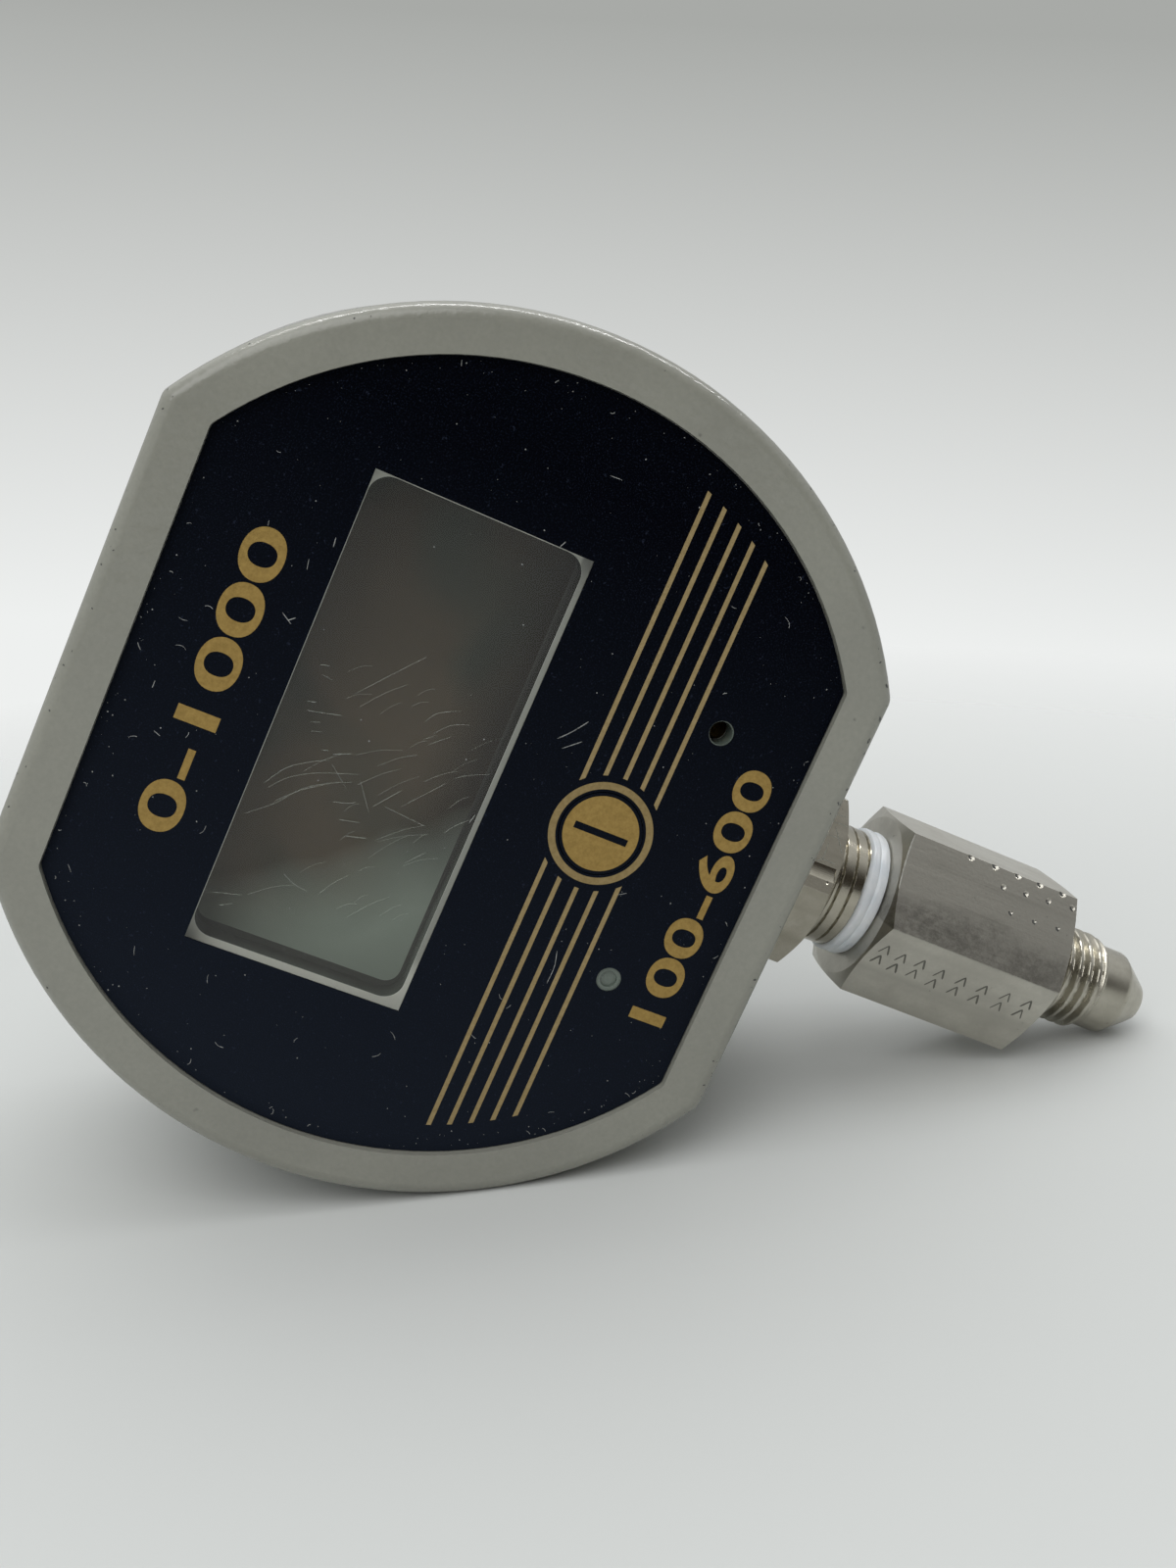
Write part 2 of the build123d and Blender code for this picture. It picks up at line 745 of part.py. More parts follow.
with BuildPart() as battery_cell_lower:
    with BuildSketch(cell_plane(-1, -1)):
        Circle(cell_radius)
    extrude(amount=cell_length)
    with BuildSketch(cell_plane(-1, -1).offset(cell_length)):
        Circle(cell_nub_radius)
    extrude(amount=cell_nub_length)
battery_cell_lower.part.label = "battery_cell_lower"

# Foam pad between the cells and the cover
with BuildPart() as battery_pad:
    with BuildSketch(front(cover_front)):
        with Locations((0, tray_rise)):
            Rectangle(cell_length - 2 * pad_inset, pad_height)
    extrude(amount=cover_front - cell_axis_depth - cell_radius - pad_gap)
battery_pad.part.label = "battery_pad"

# Pressure port: tapered male thread, hexagon and a shank through the case wall
port_corner = hexagon_radius(port_hex)
port_chamfer_height = (port_corner - port_face_radius) * tan(radians(port_chamfer_angle))
with BuildPart() as pressure_port:
    with BuildSketch(level(port_hex_z)):
        RegularPolygon(port_corner, 6, rotation=port_hex_turn)
    extrude(amount=port_hex_height)
    with BuildSketch(Plane.XZ):
        with BuildLine():
            Polyline(
                (0, port_hex_z),
                (port_face_radius, port_hex_z),
                (port_corner, port_hex_z + port_chamfer_height),
                (port_corner, case_bottom_z),
                (0, case_bottom_z),
                close=True,
            )
        make_face()
    revolve(axis=Axis.Z, mode=Mode.INTERSECT)
    with BuildSketch(Plane.XZ):
        with BuildLine():
            Polyline(
                (0, npt_bottom_z),
                (npt_radius_at(npt_bottom_z) - npt_chamfer, npt_bottom_z),
                (npt_radius_at(npt_bottom_z + npt_chamfer), npt_bottom_z + npt_chamfer),
                (npt_radius, port_hex_z),
                (shank_radius, port_hex_z),
                (shank_radius, shank_top_z - shank_chamfer),
                (shank_radius - shank_chamfer, shank_top_z),
                (0, shank_top_z),
                close=True,
            )
        make_face()
    revolve(axis=Axis.Z)
    with BuildSketch(level(npt_bottom_z)):
        Circle(bore_radius)
    extrude(amount=shank_top_z - npt_bottom_z, mode=Mode.SUBTRACT)
    with BuildSketch(level(shank_top_z)):
        Circle(sensor_stub_radius + sensor_fit)
    extrude(amount=-(sensor_stub_length + sensor_fit), mode=Mode.SUBTRACT)
    with BuildSketch(level(shank_top_z)):
        Circle(sensor_seal_inner + sensor_seal_width)
        Circle(sensor_seal_inner, mode=Mode.SUBTRACT)
    extrude(amount=-sensor_seal_height, mode=Mode.SUBTRACT)
    with BuildSketch(level(case_bottom_z)):
        Circle(shank_radius + seal_inner_gap + seal_width)
        Circle(shank_radius + seal_inner_gap, mode=Mode.SUBTRACT)
    extrude(amount=-seal_height, mode=Mode.SUBTRACT)
pressure_port.part.label = "pressure_port"

# Seal in the hexagon's groove, washer and nut inside the case
with BuildPart() as port_seal:
    with BuildSketch(level(case_bottom_z)):
        Circle(shank_radius + seal_inner_gap + seal_width)
        Circle(shank_radius + seal_inner_gap, mode=Mode.SUBTRACT)
    extrude(amount=-seal_height)
port_seal.part.label = "port_seal"

with BuildPart() as port_washer:
    with BuildSketch(level(wall_inside_z)):
        Circle(washer_radius)
        Circle(shank_radius + shank_clearance, mode=Mode.SUBTRACT)
    extrude(amount=washer_thickness)
port_washer.part.label = "port_washer"

with BuildPart() as port_nut:
    with BuildSketch(level(nut_bottom_z)):
        RegularPolygon(hexagon_radius(port_nut_hex), 6)
        Circle(shank_radius + thread_clearance, mode=Mode.SUBTRACT)
    extrude(amount=port_nut_height)
    with BuildSketch(Plane.XZ):
        with BuildLine():
            Polyline(
                (0, nut_bottom_z),
                (hexagon_radius(port_nut_hex), nut_bottom_z),
                (hexagon_radius(port_nut_hex), nut_bottom_z + port_nut_height - port_nut_chamfer),
                (port_nut_hex / 2, nut_bottom_z + port_nut_height),
                (0, nut_bottom_z + port_nut_height),
                close=True,
            )
        make_face()
    revolve(axis=Axis.Z, mode=Mode.INTERSECT)
port_nut.part.label = "port_nut"

# Sensor capsule with its seal and four leads to the board
with BuildPart() as sensor_capsule:
    with BuildSketch(level(shank_top_z)):
        Circle(sensor_radius)
    extrude(amount=sensor_height)
    chamfer(sensor_capsule.faces().sort_by(Axis.Z)[-1].edges(), sensor_edge)
    with BuildSketch(level(shank_top_z)):
        Circle(sensor_stub_radius)
        Circle(bore_radius, mode=Mode.SUBTRACT)
    extrude(amount=-sensor_stub_length)
sensor_capsule.part.label = "sensor_capsule"

with BuildPart() as sensor_seal:
    with BuildSketch(level(shank_top_z)):
        Circle(sensor_seal_inner + sensor_seal_width)
        Circle(sensor_seal_inner, mode=Mode.SUBTRACT)
    extrude(amount=-sensor_seal_height)
sensor_seal.part.label = "sensor_seal"

board_back_y = board_back - case_depth / 2
with BuildPart() as sensor_leads:
    with BuildSketch(Plane.YZ) as lead_face:
        with BuildLine():
            FilletPolyline(
                (0, sensor_top_z),
                (0, sensor_top_z + sensor_lead_rise),
                (board_back_y, sensor_top_z + sensor_lead_rise),
                radius=sensor_lead_bend,
            )
        trace(line_width=sensor_lead_width)
    with GridLocations(sensor_lead_spread, 0, 4, 1):
        add(extrude(lead_face.sketch, amount=sensor_lead_width / 2, both=True, mode=Mode.PRIVATE))
sensor_leads.part.label = "sensor_leads"

# Sealing tape: two soft rolls where the thread enters the adapter
tape_top_z = adapter_hex_length + tape_length
tape_middle_z = adapter_hex_length + tape_length / 2
tape_inner_bottom = (npt_radius_at(adapter_hex_length, thread_clearance), adapter_hex_length)
tape_inner_top = (npt_radius_at(tape_top_z, thread_clearance), tape_top_z)
with BuildPart() as ptfe_tape:
    with BuildSketch(Plane.XZ):
        with BuildLine():
            Polyline(
                tape_inner_bottom,
                (tape_valley, adapter_hex_length),
                (tape_radius, adapter_hex_length + tape_slope),
                (tape_radius, tape_middle_z - tape_slope),
                (tape_valley, tape_middle_z),
                (tape_radius, tape_middle_z + tape_slope),
                (tape_radius, tape_top_z - tape_slope),
                (tape_valley, tape_top_z),
                tape_inner_top,
                close=True,
            )
        make_face()
    revolve(axis=Axis.Z)
ptfe_tape.part.label = "ptfe_tape"

# Flare adapter: chamfered hexagon, flare thread, nose and cone, tapered thread hole above
adapter_corner = hexagon_radius(adapter_hex)
adapter_chamfer_height = (adapter_corner - adapter_face_radius) * tan(radians(adapter_chamfer_angle))
thread_end_z = -flare_thread_length
cone_start_z = thread_end_z - nose_length
tip_z = cone_start_z - flare_length
tip_radius = nose_radius - flare_length * tan(radians(flare_half_angle))
female_bottom_z = adapter_hex_length - adapter_thread_depth
with BuildPart() as flare_adapter:
    with BuildSketch(level(0)):
        RegularPolygon(adapter_corner, 6, rotation=adapter_hex_turn)
    extrude(amount=adapter_hex_length)
    with BuildSketch(Plane.XZ):
        with BuildLine():
            Polyline(
                (0, 0),
                (adapter_face_radius, 0),
                (adapter_corner, adapter_chamfer_height),
                (adapter_corner, adapter_hex_length - adapter_chamfer_height),
                (adapter_face_radius, adapter_hex_length),
                (0, adapter_hex_length),
                close=True,
            )
        make_face()
    revolve(axis=Axis.Z, mode=Mode.INTERSECT)
    with BuildSketch(Plane.XZ):
        with BuildLine():
            Polyline(
                (0, 0),
                (flare_thread_radius, 0),
                (flare_thread_radius, thread_end_z + flare_thread_chamfer),
                (nose_radius, thread_end_z),
                (nose_radius, cone_start_z),
                (tip_radius, tip_z),
                (0, tip_z),
                close=True,
            )
        make_face()
    revolve(axis=Axis.Z)
    with BuildSketch(Plane.XZ):
        with BuildLine():
            Polyline(
                (0, tip_z),
                (bore_radius, tip_z),
                (bore_radius, female_bottom_z - adapter_drill_cone),
                (npt_radius_at(female_bottom_z, thread_clearance), female_bottom_z),
                (npt_radius_at(adapter_hex_length, thread_clearance), adapter_hex_length),
                (0, adapter_hex_length),
                close=True,
            )
        make_face()
    revolve(axis=Axis.Z, mode=Mode.SUBTRACT)
flare_adapter.part.label = "flare_adapter"

pieces = [
    bezel,
    face_label,
    window_pane,
    case,
    front_gasket,
    rear_gasket,
    back_cover,
    cover_screws,
    lcd_polariser,
    lcd_front_glass,
    lcd_rear_glass,
    lcd_reflector,
    lcd_pins,
    power_button,
    switch_body,
    switch_plunger,
    trimmer_body,
    trimmer_rotor,
    circuit_board,
    board_screws,
    controller_chip,
    amplifier_chip,
    crystal,
    capacitors,
    chip_resistors,
    battery_holder,
    battery_contacts,
    battery_cell_upper,
    battery_cell_lower,
    battery_pad,
    pressure_port,
    port_seal,
    port_washer,
    port_nut,
    sensor_capsule,
    sensor_seal,
    sensor_leads,
    ptfe_tape,
    flare_adapter,
]
for piece in pieces:
    export_step(piece.part, f"parts/{piece.part.label}.step")
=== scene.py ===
import json
import math
import random

import bmesh
import bpy
from mathutils import Matrix, Vector, noise


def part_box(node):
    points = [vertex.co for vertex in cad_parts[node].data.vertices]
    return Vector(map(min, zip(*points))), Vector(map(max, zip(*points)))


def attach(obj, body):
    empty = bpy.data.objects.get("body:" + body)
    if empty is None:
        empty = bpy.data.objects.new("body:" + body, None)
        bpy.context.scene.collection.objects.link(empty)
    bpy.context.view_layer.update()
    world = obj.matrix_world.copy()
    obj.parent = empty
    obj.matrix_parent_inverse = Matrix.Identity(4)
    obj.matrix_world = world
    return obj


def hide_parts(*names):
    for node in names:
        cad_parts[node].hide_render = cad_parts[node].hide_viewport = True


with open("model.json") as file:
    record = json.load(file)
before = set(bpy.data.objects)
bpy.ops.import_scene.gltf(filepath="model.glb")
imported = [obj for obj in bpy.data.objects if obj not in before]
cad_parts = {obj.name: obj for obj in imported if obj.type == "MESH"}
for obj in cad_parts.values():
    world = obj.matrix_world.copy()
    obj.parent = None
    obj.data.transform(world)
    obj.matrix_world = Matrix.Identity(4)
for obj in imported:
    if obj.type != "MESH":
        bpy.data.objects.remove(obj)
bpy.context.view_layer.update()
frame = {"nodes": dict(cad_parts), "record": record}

MM = 0.001

# Places that follow from the frame
CASE_LOW, CASE_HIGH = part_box("case")
CENTRE_Z = (CASE_LOW.z + CASE_HIGH.z) / 2
FRONT_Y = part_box("bezel")[0].y
LABEL_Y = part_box("face_label")[0].y
DISPLAY_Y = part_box("lcd_polariser")[0].y
PANE_LOW, PANE_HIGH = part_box("window_pane")
PANE_Y, LEDGE_Y = PANE_LOW.y, PANE_HIGH.y
WINDOW_Z = (PANE_LOW.z + PANE_HIGH.z) / 2
BUTTON_LOW, BUTTON_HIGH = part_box("power_button")
BUTTON_Z = (BUTTON_LOW.z + BUTTON_HIGH.z) / 2
ADAPTER_LOW, ADAPTER_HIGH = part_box("flare_adapter")
TAPE_LOW, TAPE_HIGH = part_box("ptfe_tape")
FACE_CENTRE = Vector((0, FRONT_Y, CENTRE_Z))

# Opening below the pane: how far it is smaller than the pane on each side, half its size and its corners
OPENING_INSET = 2.15 * MM
OPENING_HALF_X = (PANE_HIGH.x - PANE_LOW.x) / 2 - OPENING_INSET
OPENING_HALF_Z = (PANE_HIGH.z - PANE_LOW.z) / 2 - OPENING_INSET
OPENING_CORNER = 2.0 * MM

# Photograph's camera, solved from the case outline
PHOTO_LONG_SIDE = 1600
PHOTO_FOCAL = 1800.4
SENSOR = 36.0
CAMERA_RIGHT = Vector((0.4013, -0.1557, -0.9026))
CAMERA_UP = Vector((0.8993, 0.2540, 0.3560))
CAMERA_FROM_FACE = Vector((33.15, -159.0, 28.19)) * MM

# The floor touches the round side of the case and leans to the frame's upright
FLOOR_NORMAL = Vector((0.891, 0, 0.454)).normalized()
CASE_RADIUS = (CASE_HIGH.x - CASE_LOW.x) / 2

# The unlit part of the room, which the glossy faces reflect
ROOM_DIRECTION = Vector((0.2, -0.95, -0.25)).normalized()


def srgb(red, green, blue):
    """Linear colour with alpha from 0-255 display values."""
    def linear(value):
        value /= 255
        return value / 12.92 if value <= 0.04045 else ((value + 0.055) / 1.055) ** 2.4
    return (linear(red), linear(green), linear(blue), 1.0)


# Node helpers

def new_material(name):
    """Empty node material and its tree."""
    material = bpy.data.materials.new(name)
    material.use_nodes = True
    material.node_tree.nodes.clear()
    return material, material.node_tree


def add_node(tree, kind, inputs=None, **settings):
    """Node with its settings and inputs; an input is a value or another node's socket."""
    made = tree.nodes.new(kind)
    for key, value in settings.items():
        setattr(made, key, value)
    for key, value in (inputs or {}).items():
        if isinstance(value, bpy.types.NodeSocket):
            tree.links.new(value, made.inputs[key])
        else:
            made.inputs[key].default_value = value
    return made


def place(tree):
    """Object coordinates: metres in the part's frame."""
    return add_node(tree, "ShaderNodeTexCoord").outputs["Object"]


def noise_at(tree, scale, detail=2.0, roughness=0.5, vector=None, distortion=0.0):
    inputs = {"Scale": scale, "Detail": detail, "Roughness": roughness, "Distortion": distortion}
    inputs["Vector"] = vector or place(tree)
    return add_node(tree, "ShaderNodeTexNoise", inputs).outputs["Fac"]


def ramp(tree, value, low, high, out_low=0.0, out_high=1.0):
    """Value mapped and clamped from low..high to out_low..out_high."""
    inputs = {"Value": value, "From Min": low, "From Max": high, "To Min": out_low, "To Max": out_high}
    return add_node(tree, "ShaderNodeMapRange", inputs).outputs["Result"]


def math_of(tree, operation, first, second):
    return add_node(tree, "ShaderNodeMath", {0: first, 1: second}, operation=operation).outputs[0]


def scaled(tree, value, factor, middle=0.0):
    """Value less its middle, times a factor."""
    return math_of(tree, "MULTIPLY", math_of(tree, "SUBTRACT", value, middle), factor)


def vector_of(tree, operation, first, second, output="Vector"):
    inputs = {0: first, 1: tuple(second)}
    return add_node(tree, "ShaderNodeVectorMath", inputs, operation=operation).outputs[output]


def coordinate(tree, axis):
    """One of the object coordinates."""
    return add_node(tree, "ShaderNodeSeparateXYZ", {"Vector": place(tree)}).outputs[axis]


def mix_colour(tree, factor, first, second):
    inputs = {0: factor, 6: first, 7: second}
    return add_node(tree, "ShaderNodeMix", inputs, data_type="RGBA").outputs[2]


def blend(tree, value, low, high, first, second, share=1.0):
    """Colour that goes from first to second, or a share of the way, as the value goes from low to high."""
    return mix_colour(tree, ramp(tree, value, low, high, 0.0, share), first, second)


def bump_of(tree, height, strength, distance):
    inputs = {"Height": height, "Strength": strength, "Distance": distance}
    return add_node(tree, "ShaderNodeBump", inputs).outputs["Normal"]


def principled(tree, **inputs):
    """Principled shader with its named inputs; underscores stand for spaces."""
    named = {key.replace("_", " "): value for key, value in inputs.items()}
    return add_node(tree, "ShaderNodeBsdfPrincipled", named).outputs[0]


def see_through(tree, colour=(1, 1, 1, 1)):
    return add_node(tree, "ShaderNodeBsdfTransparent", {"Color": colour}).outputs[0]


def mix_shader(tree, factor, first, second):
    return add_node(tree, "ShaderNodeMixShader", {0: factor, 1: first, 2: second}).outputs[0]


def finished(material, shader):
    """Material with this shader as its surface."""
    add_node(material.node_tree, "ShaderNodeOutputMaterial", {"Surface": shader})
    return material


# Materials

def lower_side_shade(tree, start, end):
    """Where painted shade lies: 1 at the lower side of the display's opening, rising from start to end along
    X; else 0.
    """
    rise = math_of(tree, "SUBTRACT", coordinate(tree, "Z"), WINDOW_Z)
    near = ramp(tree, rise, -OPENING_HALF_Z + 0.7 * MM, -OPENING_HALF_Z + 0.4 * MM)
    return math_of(tree, "MULTIPLY", near, ramp(tree, coordinate(tree, "X"), start, end))


def dark_border_and_shade(tree, colour):
    """A grey of the opening's wall or the display's border, with painted shade, near black, along the lower
    side.
    """
    return mix_colour(tree, lower_side_shade(tree, -18 * MM, -6 * MM), colour, srgb(34, 30, 25))


def coated_metal():
    """Grey powder coat with orange peel and fine grime; behind the label and the pane the bare metal,
    pale on the pane's ledge and dark in the opening, with painted shade near black along the opening's lower
    side."""
    material, tree = new_material("coated_metal")
    cloud = noise_at(tree, 60, 4)
    grain = noise_at(tree, 2600, 2)
    speck = noise_at(tree, 700, 2)
    coat = blend(tree, cloud, 0.3, 0.7, srgb(137, 137, 128), srgb(146, 146, 136))
    coat = blend(tree, grain, 0.25, 0.75, coat, srgb(112, 113, 106), 0.2)
    coat = blend(tree, speck, 0.76, 0.82, coat, srgb(84, 84, 78), 0.5)
    depth = coordinate(tree, "Y")
    at_ledge = math_of(tree, "GREATER_THAN", depth, LEDGE_Y - 0.1 * MM)
    past_ledge = math_of(tree, "GREATER_THAN", depth, LEDGE_Y + 0.05 * MM)
    bare = mix_colour(tree, at_ledge, srgb(104, 114, 106), srgb(240, 242, 236))
    # Past the ledge, the opening's wall: dark grey, with painted shade near black along its lower side
    bare = mix_colour(tree, past_ledge, bare, dark_border_and_shade(tree, srgb(58, 58, 53)))
    behind_label = math_of(tree, "GREATER_THAN", depth, LABEL_Y + 0.2 * MM)
    above_display = math_of(tree, "LESS_THAN", depth, DISPLAY_Y + 0.1 * MM)
    from_centre = vector_of(tree, "SUBTRACT", place(tree), (0.0, 0.0, CENTRE_Z))
    flat = vector_of(tree, "MULTIPLY", from_centre, (1.0, 0.0, 1.0))
    reach = vector_of(tree, "LENGTH", flat, (0.0, 0.0, 0.0), "Value")
    near_window = math_of(tree, "LESS_THAN", reach, PANE_HIGH.x + 4 * MM)
    uncoated = math_of(tree, "MULTIPLY", behind_label, math_of(tree, "MULTIPLY", above_display, near_window))
    peel = math_of(tree, "ADD", noise_at(tree, 1500, 2), scaled(tree, noise_at(tree, 420, 1), 1.5))
    return finished(material, principled(
        tree,
        Base_Color=mix_colour(tree, uncoated, coat, bare),
        Roughness=ramp(tree, cloud, 0.3, 0.7, 0.18, 0.25),
        Normal=bump_of(tree, peel, 0.4, 0.00012),
    ))


def label_print():
    """Near-black navy film with a very fine leathery grain and a painted sheen that pales it towards one
    side.
    """
    material, tree = new_material("label_print")
    grain = noise_at(tree, 6500, 2, 0.7)
    coarse = noise_at(tree, 2400, 3, 0.6)
    cloud = noise_at(tree, 45, 4)
    # Painted sheen: near black at +X, paler towards -X
    tone = blend(tree, coordinate(tree, "X"), 30 * MM, -36 * MM, srgb(0, 1, 6), srgb(25, 30, 39))
    tone = blend(tree, grain, 0.54, 0.68, tone, srgb(32, 39, 56), 0.45)
    tone = blend(tree, coarse, 0.66, 0.72, tone, srgb(42, 48, 64), 0.5)
    return finished(material, principled(
        tree,
        Base_Color=tone,
        Roughness=ramp(tree, cloud, 0.3, 0.7, 0.45, 0.52),
        Specular_IOR_Level=0.03,
        Normal=bump_of(tree, grain, 0.3, 0.00006),
    ))


def gold_print(name, light, dark):
    """Matt gold ink with a fine mottle."""
    material, tree = new_material(name)
    tone = blend(tree, noise_at(tree, 2200, 3, 0.7), 0.3, 0.7, dark, light)
    return finished(material, principled(tree, Base_Color=tone, Roughness=0.5, Metallic=0.15))


def clear_acrylic():
    """Clear pane that lets light through to what lies behind it."""
    material, tree = new_material("clear_pane")
    smear = noise_at(tree, 70, 4)
    glass = principled(
        tree,
        Base_Color=blend(tree, smear, 0.35, 0.75, (0.97, 0.98, 0.96, 1), (0.93, 0.94, 0.92, 1)),
        Roughness=0.0,
        IOR=1.49,
        Specular_IOR_Level=0.25,
        Transmission_Weight=1.0,
    )
    path = add_node(tree, "ShaderNodeLightPath").outputs
    lighting = math_of(tree, "MAXIMUM", path["Is Shadow Ray"], path["Is Diffuse Ray"])
    lighting = math_of(tree, "MAXIMUM", lighting, path["Is Glossy Ray"])
    through = see_through(tree, (0.92, 0.93, 0.91, 1))
    return finished(material, mix_shader(tree, lighting, glass, through))


def plain(name, colour, roughness, metallic=0.0, bump=0.1):
    """Simple finish with a little cloud in its tone and a fine bump."""
    material, tree = new_material(name)
    cloud = noise_at(tree, 400, 3)
    dark = tuple(channel * 0.88 for channel in colour[:3]) + (1,)
    light = tuple(min(channel * 1.12, 1) for channel in colour[:3]) + (1,)
    return finished(material, principled(
        tree,
        Base_Color=blend(tree, cloud, 0.3, 0.7, dark, light),
        Roughness=ramp(tree, cloud, 0.3, 0.7, roughness, min(roughness + 0.08, 1)),
        Metallic=metallic,
        Normal=bump_of(tree, noise_at(tree, 2400, 2), bump, 0.00005),
    ))


def display_film():
    """Blank display: brown-grey polariser with painted reflection in its paler middle, its green patches and
    its slanting pale green end, and painted shade darker along its lower side.
    """
    material, tree = new_material("display_film")
    cloud = noise_at(tree, 55, 2)
    patch = noise_at(tree, 75, 1, 0.4, distortion=0.4)
    along = math_of(tree, "ADD", coordinate(tree, "X"), scaled(tree, cloud, 12 * MM, 0.5))
    rise = math_of(tree, "SUBTRACT", coordinate(tree, "Z"), WINDOW_Z)
    slant = math_of(tree, "ADD", along, scaled(tree, rise, 0.8))
    # Painted reflection: paler from the +X end to the middle, green patches and the pale green slanting end;
    # painted shade: darker along the lower side
    tone = blend(tree, along, 22 * MM, 0.0, srgb(56, 49, 39), srgb(84, 74, 62))
    tone = blend(tree, patch, 0.5, 0.68, tone, srgb(48, 56, 50), 0.75)
    tone = blend(tree, rise, -4 * MM, -9.5 * MM, tone, srgb(38, 33, 27), 0.85)
    tone = blend(tree, slant, -11 * MM, -22.2 * MM, tone, srgb(145, 154, 146))
    return finished(material, principled(
        tree,
        Base_Color=tone,
        Roughness=ramp(tree, cloud, 0.3, 0.7, 0.3, 0.36),
        Specular_IOR_Level=0.05,
        Normal=bump_of(tree, cloud, 0.05, 0.0002),
    ))


def ledge_metal_and_shade():
    """Bare ledge under the pane: pale, and greyer along its lower side with painted shade."""
    material, tree = new_material("ledge_metal_and_shade")
    tone = blend(tree, noise_at(tree, 300, 3), 0.3, 0.7, srgb(214, 214, 205), srgb(222, 222, 213))
    tone = mix_colour(tree, lower_side_shade(tree, -20.5 * MM, -18.5 * MM), tone, srgb(164, 165, 158))
    return finished(material, principled(tree, Base_Color=tone, Roughness=0.4))


def border_print_and_shade():
    """Dark grey border of the display, with painted shade near black along its lower side."""
    material, tree = new_material("border_print_and_shade")
    tone = dark_border_and_shade(tree, srgb(60, 60, 55))
    return finished(material, principled(tree, Base_Color=tone, Roughness=0.6))


def veil(name, colour, cover):
    """Scratch, dust or painted highlight that hides part of what lies behind it."""
    material, tree = new_material(name)
    amount = ramp(tree, noise_at(tree, 1800, 2), 0.3, 0.6, cover * 0.5, cover)
    solid = principled(tree, Base_Color=colour, Roughness=0.6)
    return finished(material, mix_shader(tree, amount, see_through(tree), solid))


def turned_steel(name, colour, dark, roughness, streak, stain=0.0, relief=0.3):
    """Bright metal with drawing lines along the axis, stains and pits; a stained piece also has a darker
    band along its front ridge."""
    material, tree = new_material(name)
    mapping = add_node(tree, "ShaderNodeMapping", {"Vector": place(tree), "Scale": (1, 1, 0.03)})
    stretched = mapping.outputs["Vector"]
    lines = noise_at(tree, 2400, 3, 0.6, stretched)
    cloud = noise_at(tree, 160, 5, 0.6)
    fine = noise_at(tree, 3000, 2)
    pit = noise_at(tree, 1300, 3, 0.6)
    swathes = noise_at(tree, 420, 2, 0.5, stretched)
    tone = blend(tree, cloud, 0.38, 0.68, colour, dark)
    tone = blend(tree, swathes, 0.45, 0.7, tone, dark, 0.7)
    tone = blend(tree, fine, 0.3, 0.8, tone, dark, 0.35)
    tone = blend(tree, pit, 0.7, 0.78, tone, (0.03, 0.03, 0.03, 1), 0.6)
    if stain:
        sideways = coordinate(tree, "X")
        ragged = math_of(tree, "ADD", sideways, scaled(tree, cloud, 6 * MM, 0.5))
        band = math_of(tree, "MULTIPLY", ramp(tree, ragged, 4.4 * MM, 2.6 * MM),
                       ramp(tree, sideways, -0.2 * MM, 0.0))
        band = math_of(tree, "MULTIPLY", band, ramp(tree, coordinate(tree, "Z"), 0.0, 0.6 * MM))
        speckle = ramp(tree, noise_at(tree, 900, 5, 0.85), 0.35, 0.62, 0.35, 1.0)
        amount = scaled(tree, math_of(tree, "MULTIPLY", band, speckle), stain)
        tone = mix_colour(tree, amount, tone, srgb(120, 117, 111))
    clouded = ramp(tree, cloud, 0.3, 0.7, roughness - 0.05, roughness + 0.06)
    lined = scaled(tree, ramp(tree, lines, 0.3, 0.7), streak * 0.08)
    height = math_of(tree, "ADD", scaled(tree, lines, streak), scaled(tree, fine, 0.7))
    return finished(material, principled(
        tree,
        Base_Color=tone,
        Metallic=1.0,
        Roughness=math_of(tree, "ADD", clouded, lined),
        Normal=bump_of(tree, height, relief, 0.00005),
    ))


def white_tape():
    """Thin white film wound over itself, a little blue and grey where it is thin."""
    material, tree = new_material("white_tape")
    cloud = noise_at(tree, 260, 4, 0.6)
    return finished(material, principled(
        tree,
        Base_Color=blend(tree, cloud, 0.35, 0.65, srgb(224, 231, 238), srgb(242, 245, 248)),
        Roughness=0.36,
        Normal=bump_of(tree, noise_at(tree, 700, 3, 0.6), 0.15, 0.00008),
    ))


# Mesh helpers, in metres
ROUND_SEGMENTS = 160
CIRCLE_POINTS = 144
CORNER_SIGNS = ((-1, -1), (1, -1), (1, 1), (-1, 1))
PLATE_SUNK = 0.02 * MM
FRAME_BAND = 1.6 * MM
rng = random.Random(7)


def new_object(name, data):
    """Object with this data, in the scene."""
    made = bpy.data.objects.new(name, data)
    bpy.context.scene.collection.objects.link(made)
    return made


def mesh_of(name, made):
    """Mesh from this bmesh, which is freed."""
    mesh = bpy.data.meshes.new(name)
    made.to_mesh(mesh)
    made.free()
    return mesh


def add_piece(name, mesh, material, smooth=None, body="gauge"):
    """New object of the part, on its body and in its slot."""
    piece = new_object(name, mesh)
    mesh.materials.append(material)
    if smooth is not None:
        mesh.shade_smooth()
        mesh.set_sharp_from_angle(angle=math.radians(smooth))
    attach(piece, body)
    return piece


def grid_mesh(name, rows):
    """Closed mesh through rows of points, each row a ring with as many points."""
    made = bmesh.new()
    rings = [[made.verts.new(point) for point in row] for row in rows]
    count = len(rows[0])
    for lower, upper in zip(rings, rings[1:]):
        for index in range(count):
            following = (index + 1) % count
            made.faces.new((lower[index], lower[following], upper[following], upper[index]))
    made.faces.new(list(reversed(rings[0])))
    made.faces.new(rings[-1])
    bmesh.ops.recalc_face_normals(made, faces=made.faces)
    return mesh_of(name, made)


def lathe_rows(profile, segments):
    """Rings round +Z through (radius, height) points."""
    turns = [2 * math.pi * index / segments for index in range(segments)]
    return [[Vector((radius * math.cos(turn), radius * math.sin(turn), height)) for turn in turns]
            for radius, height in profile]


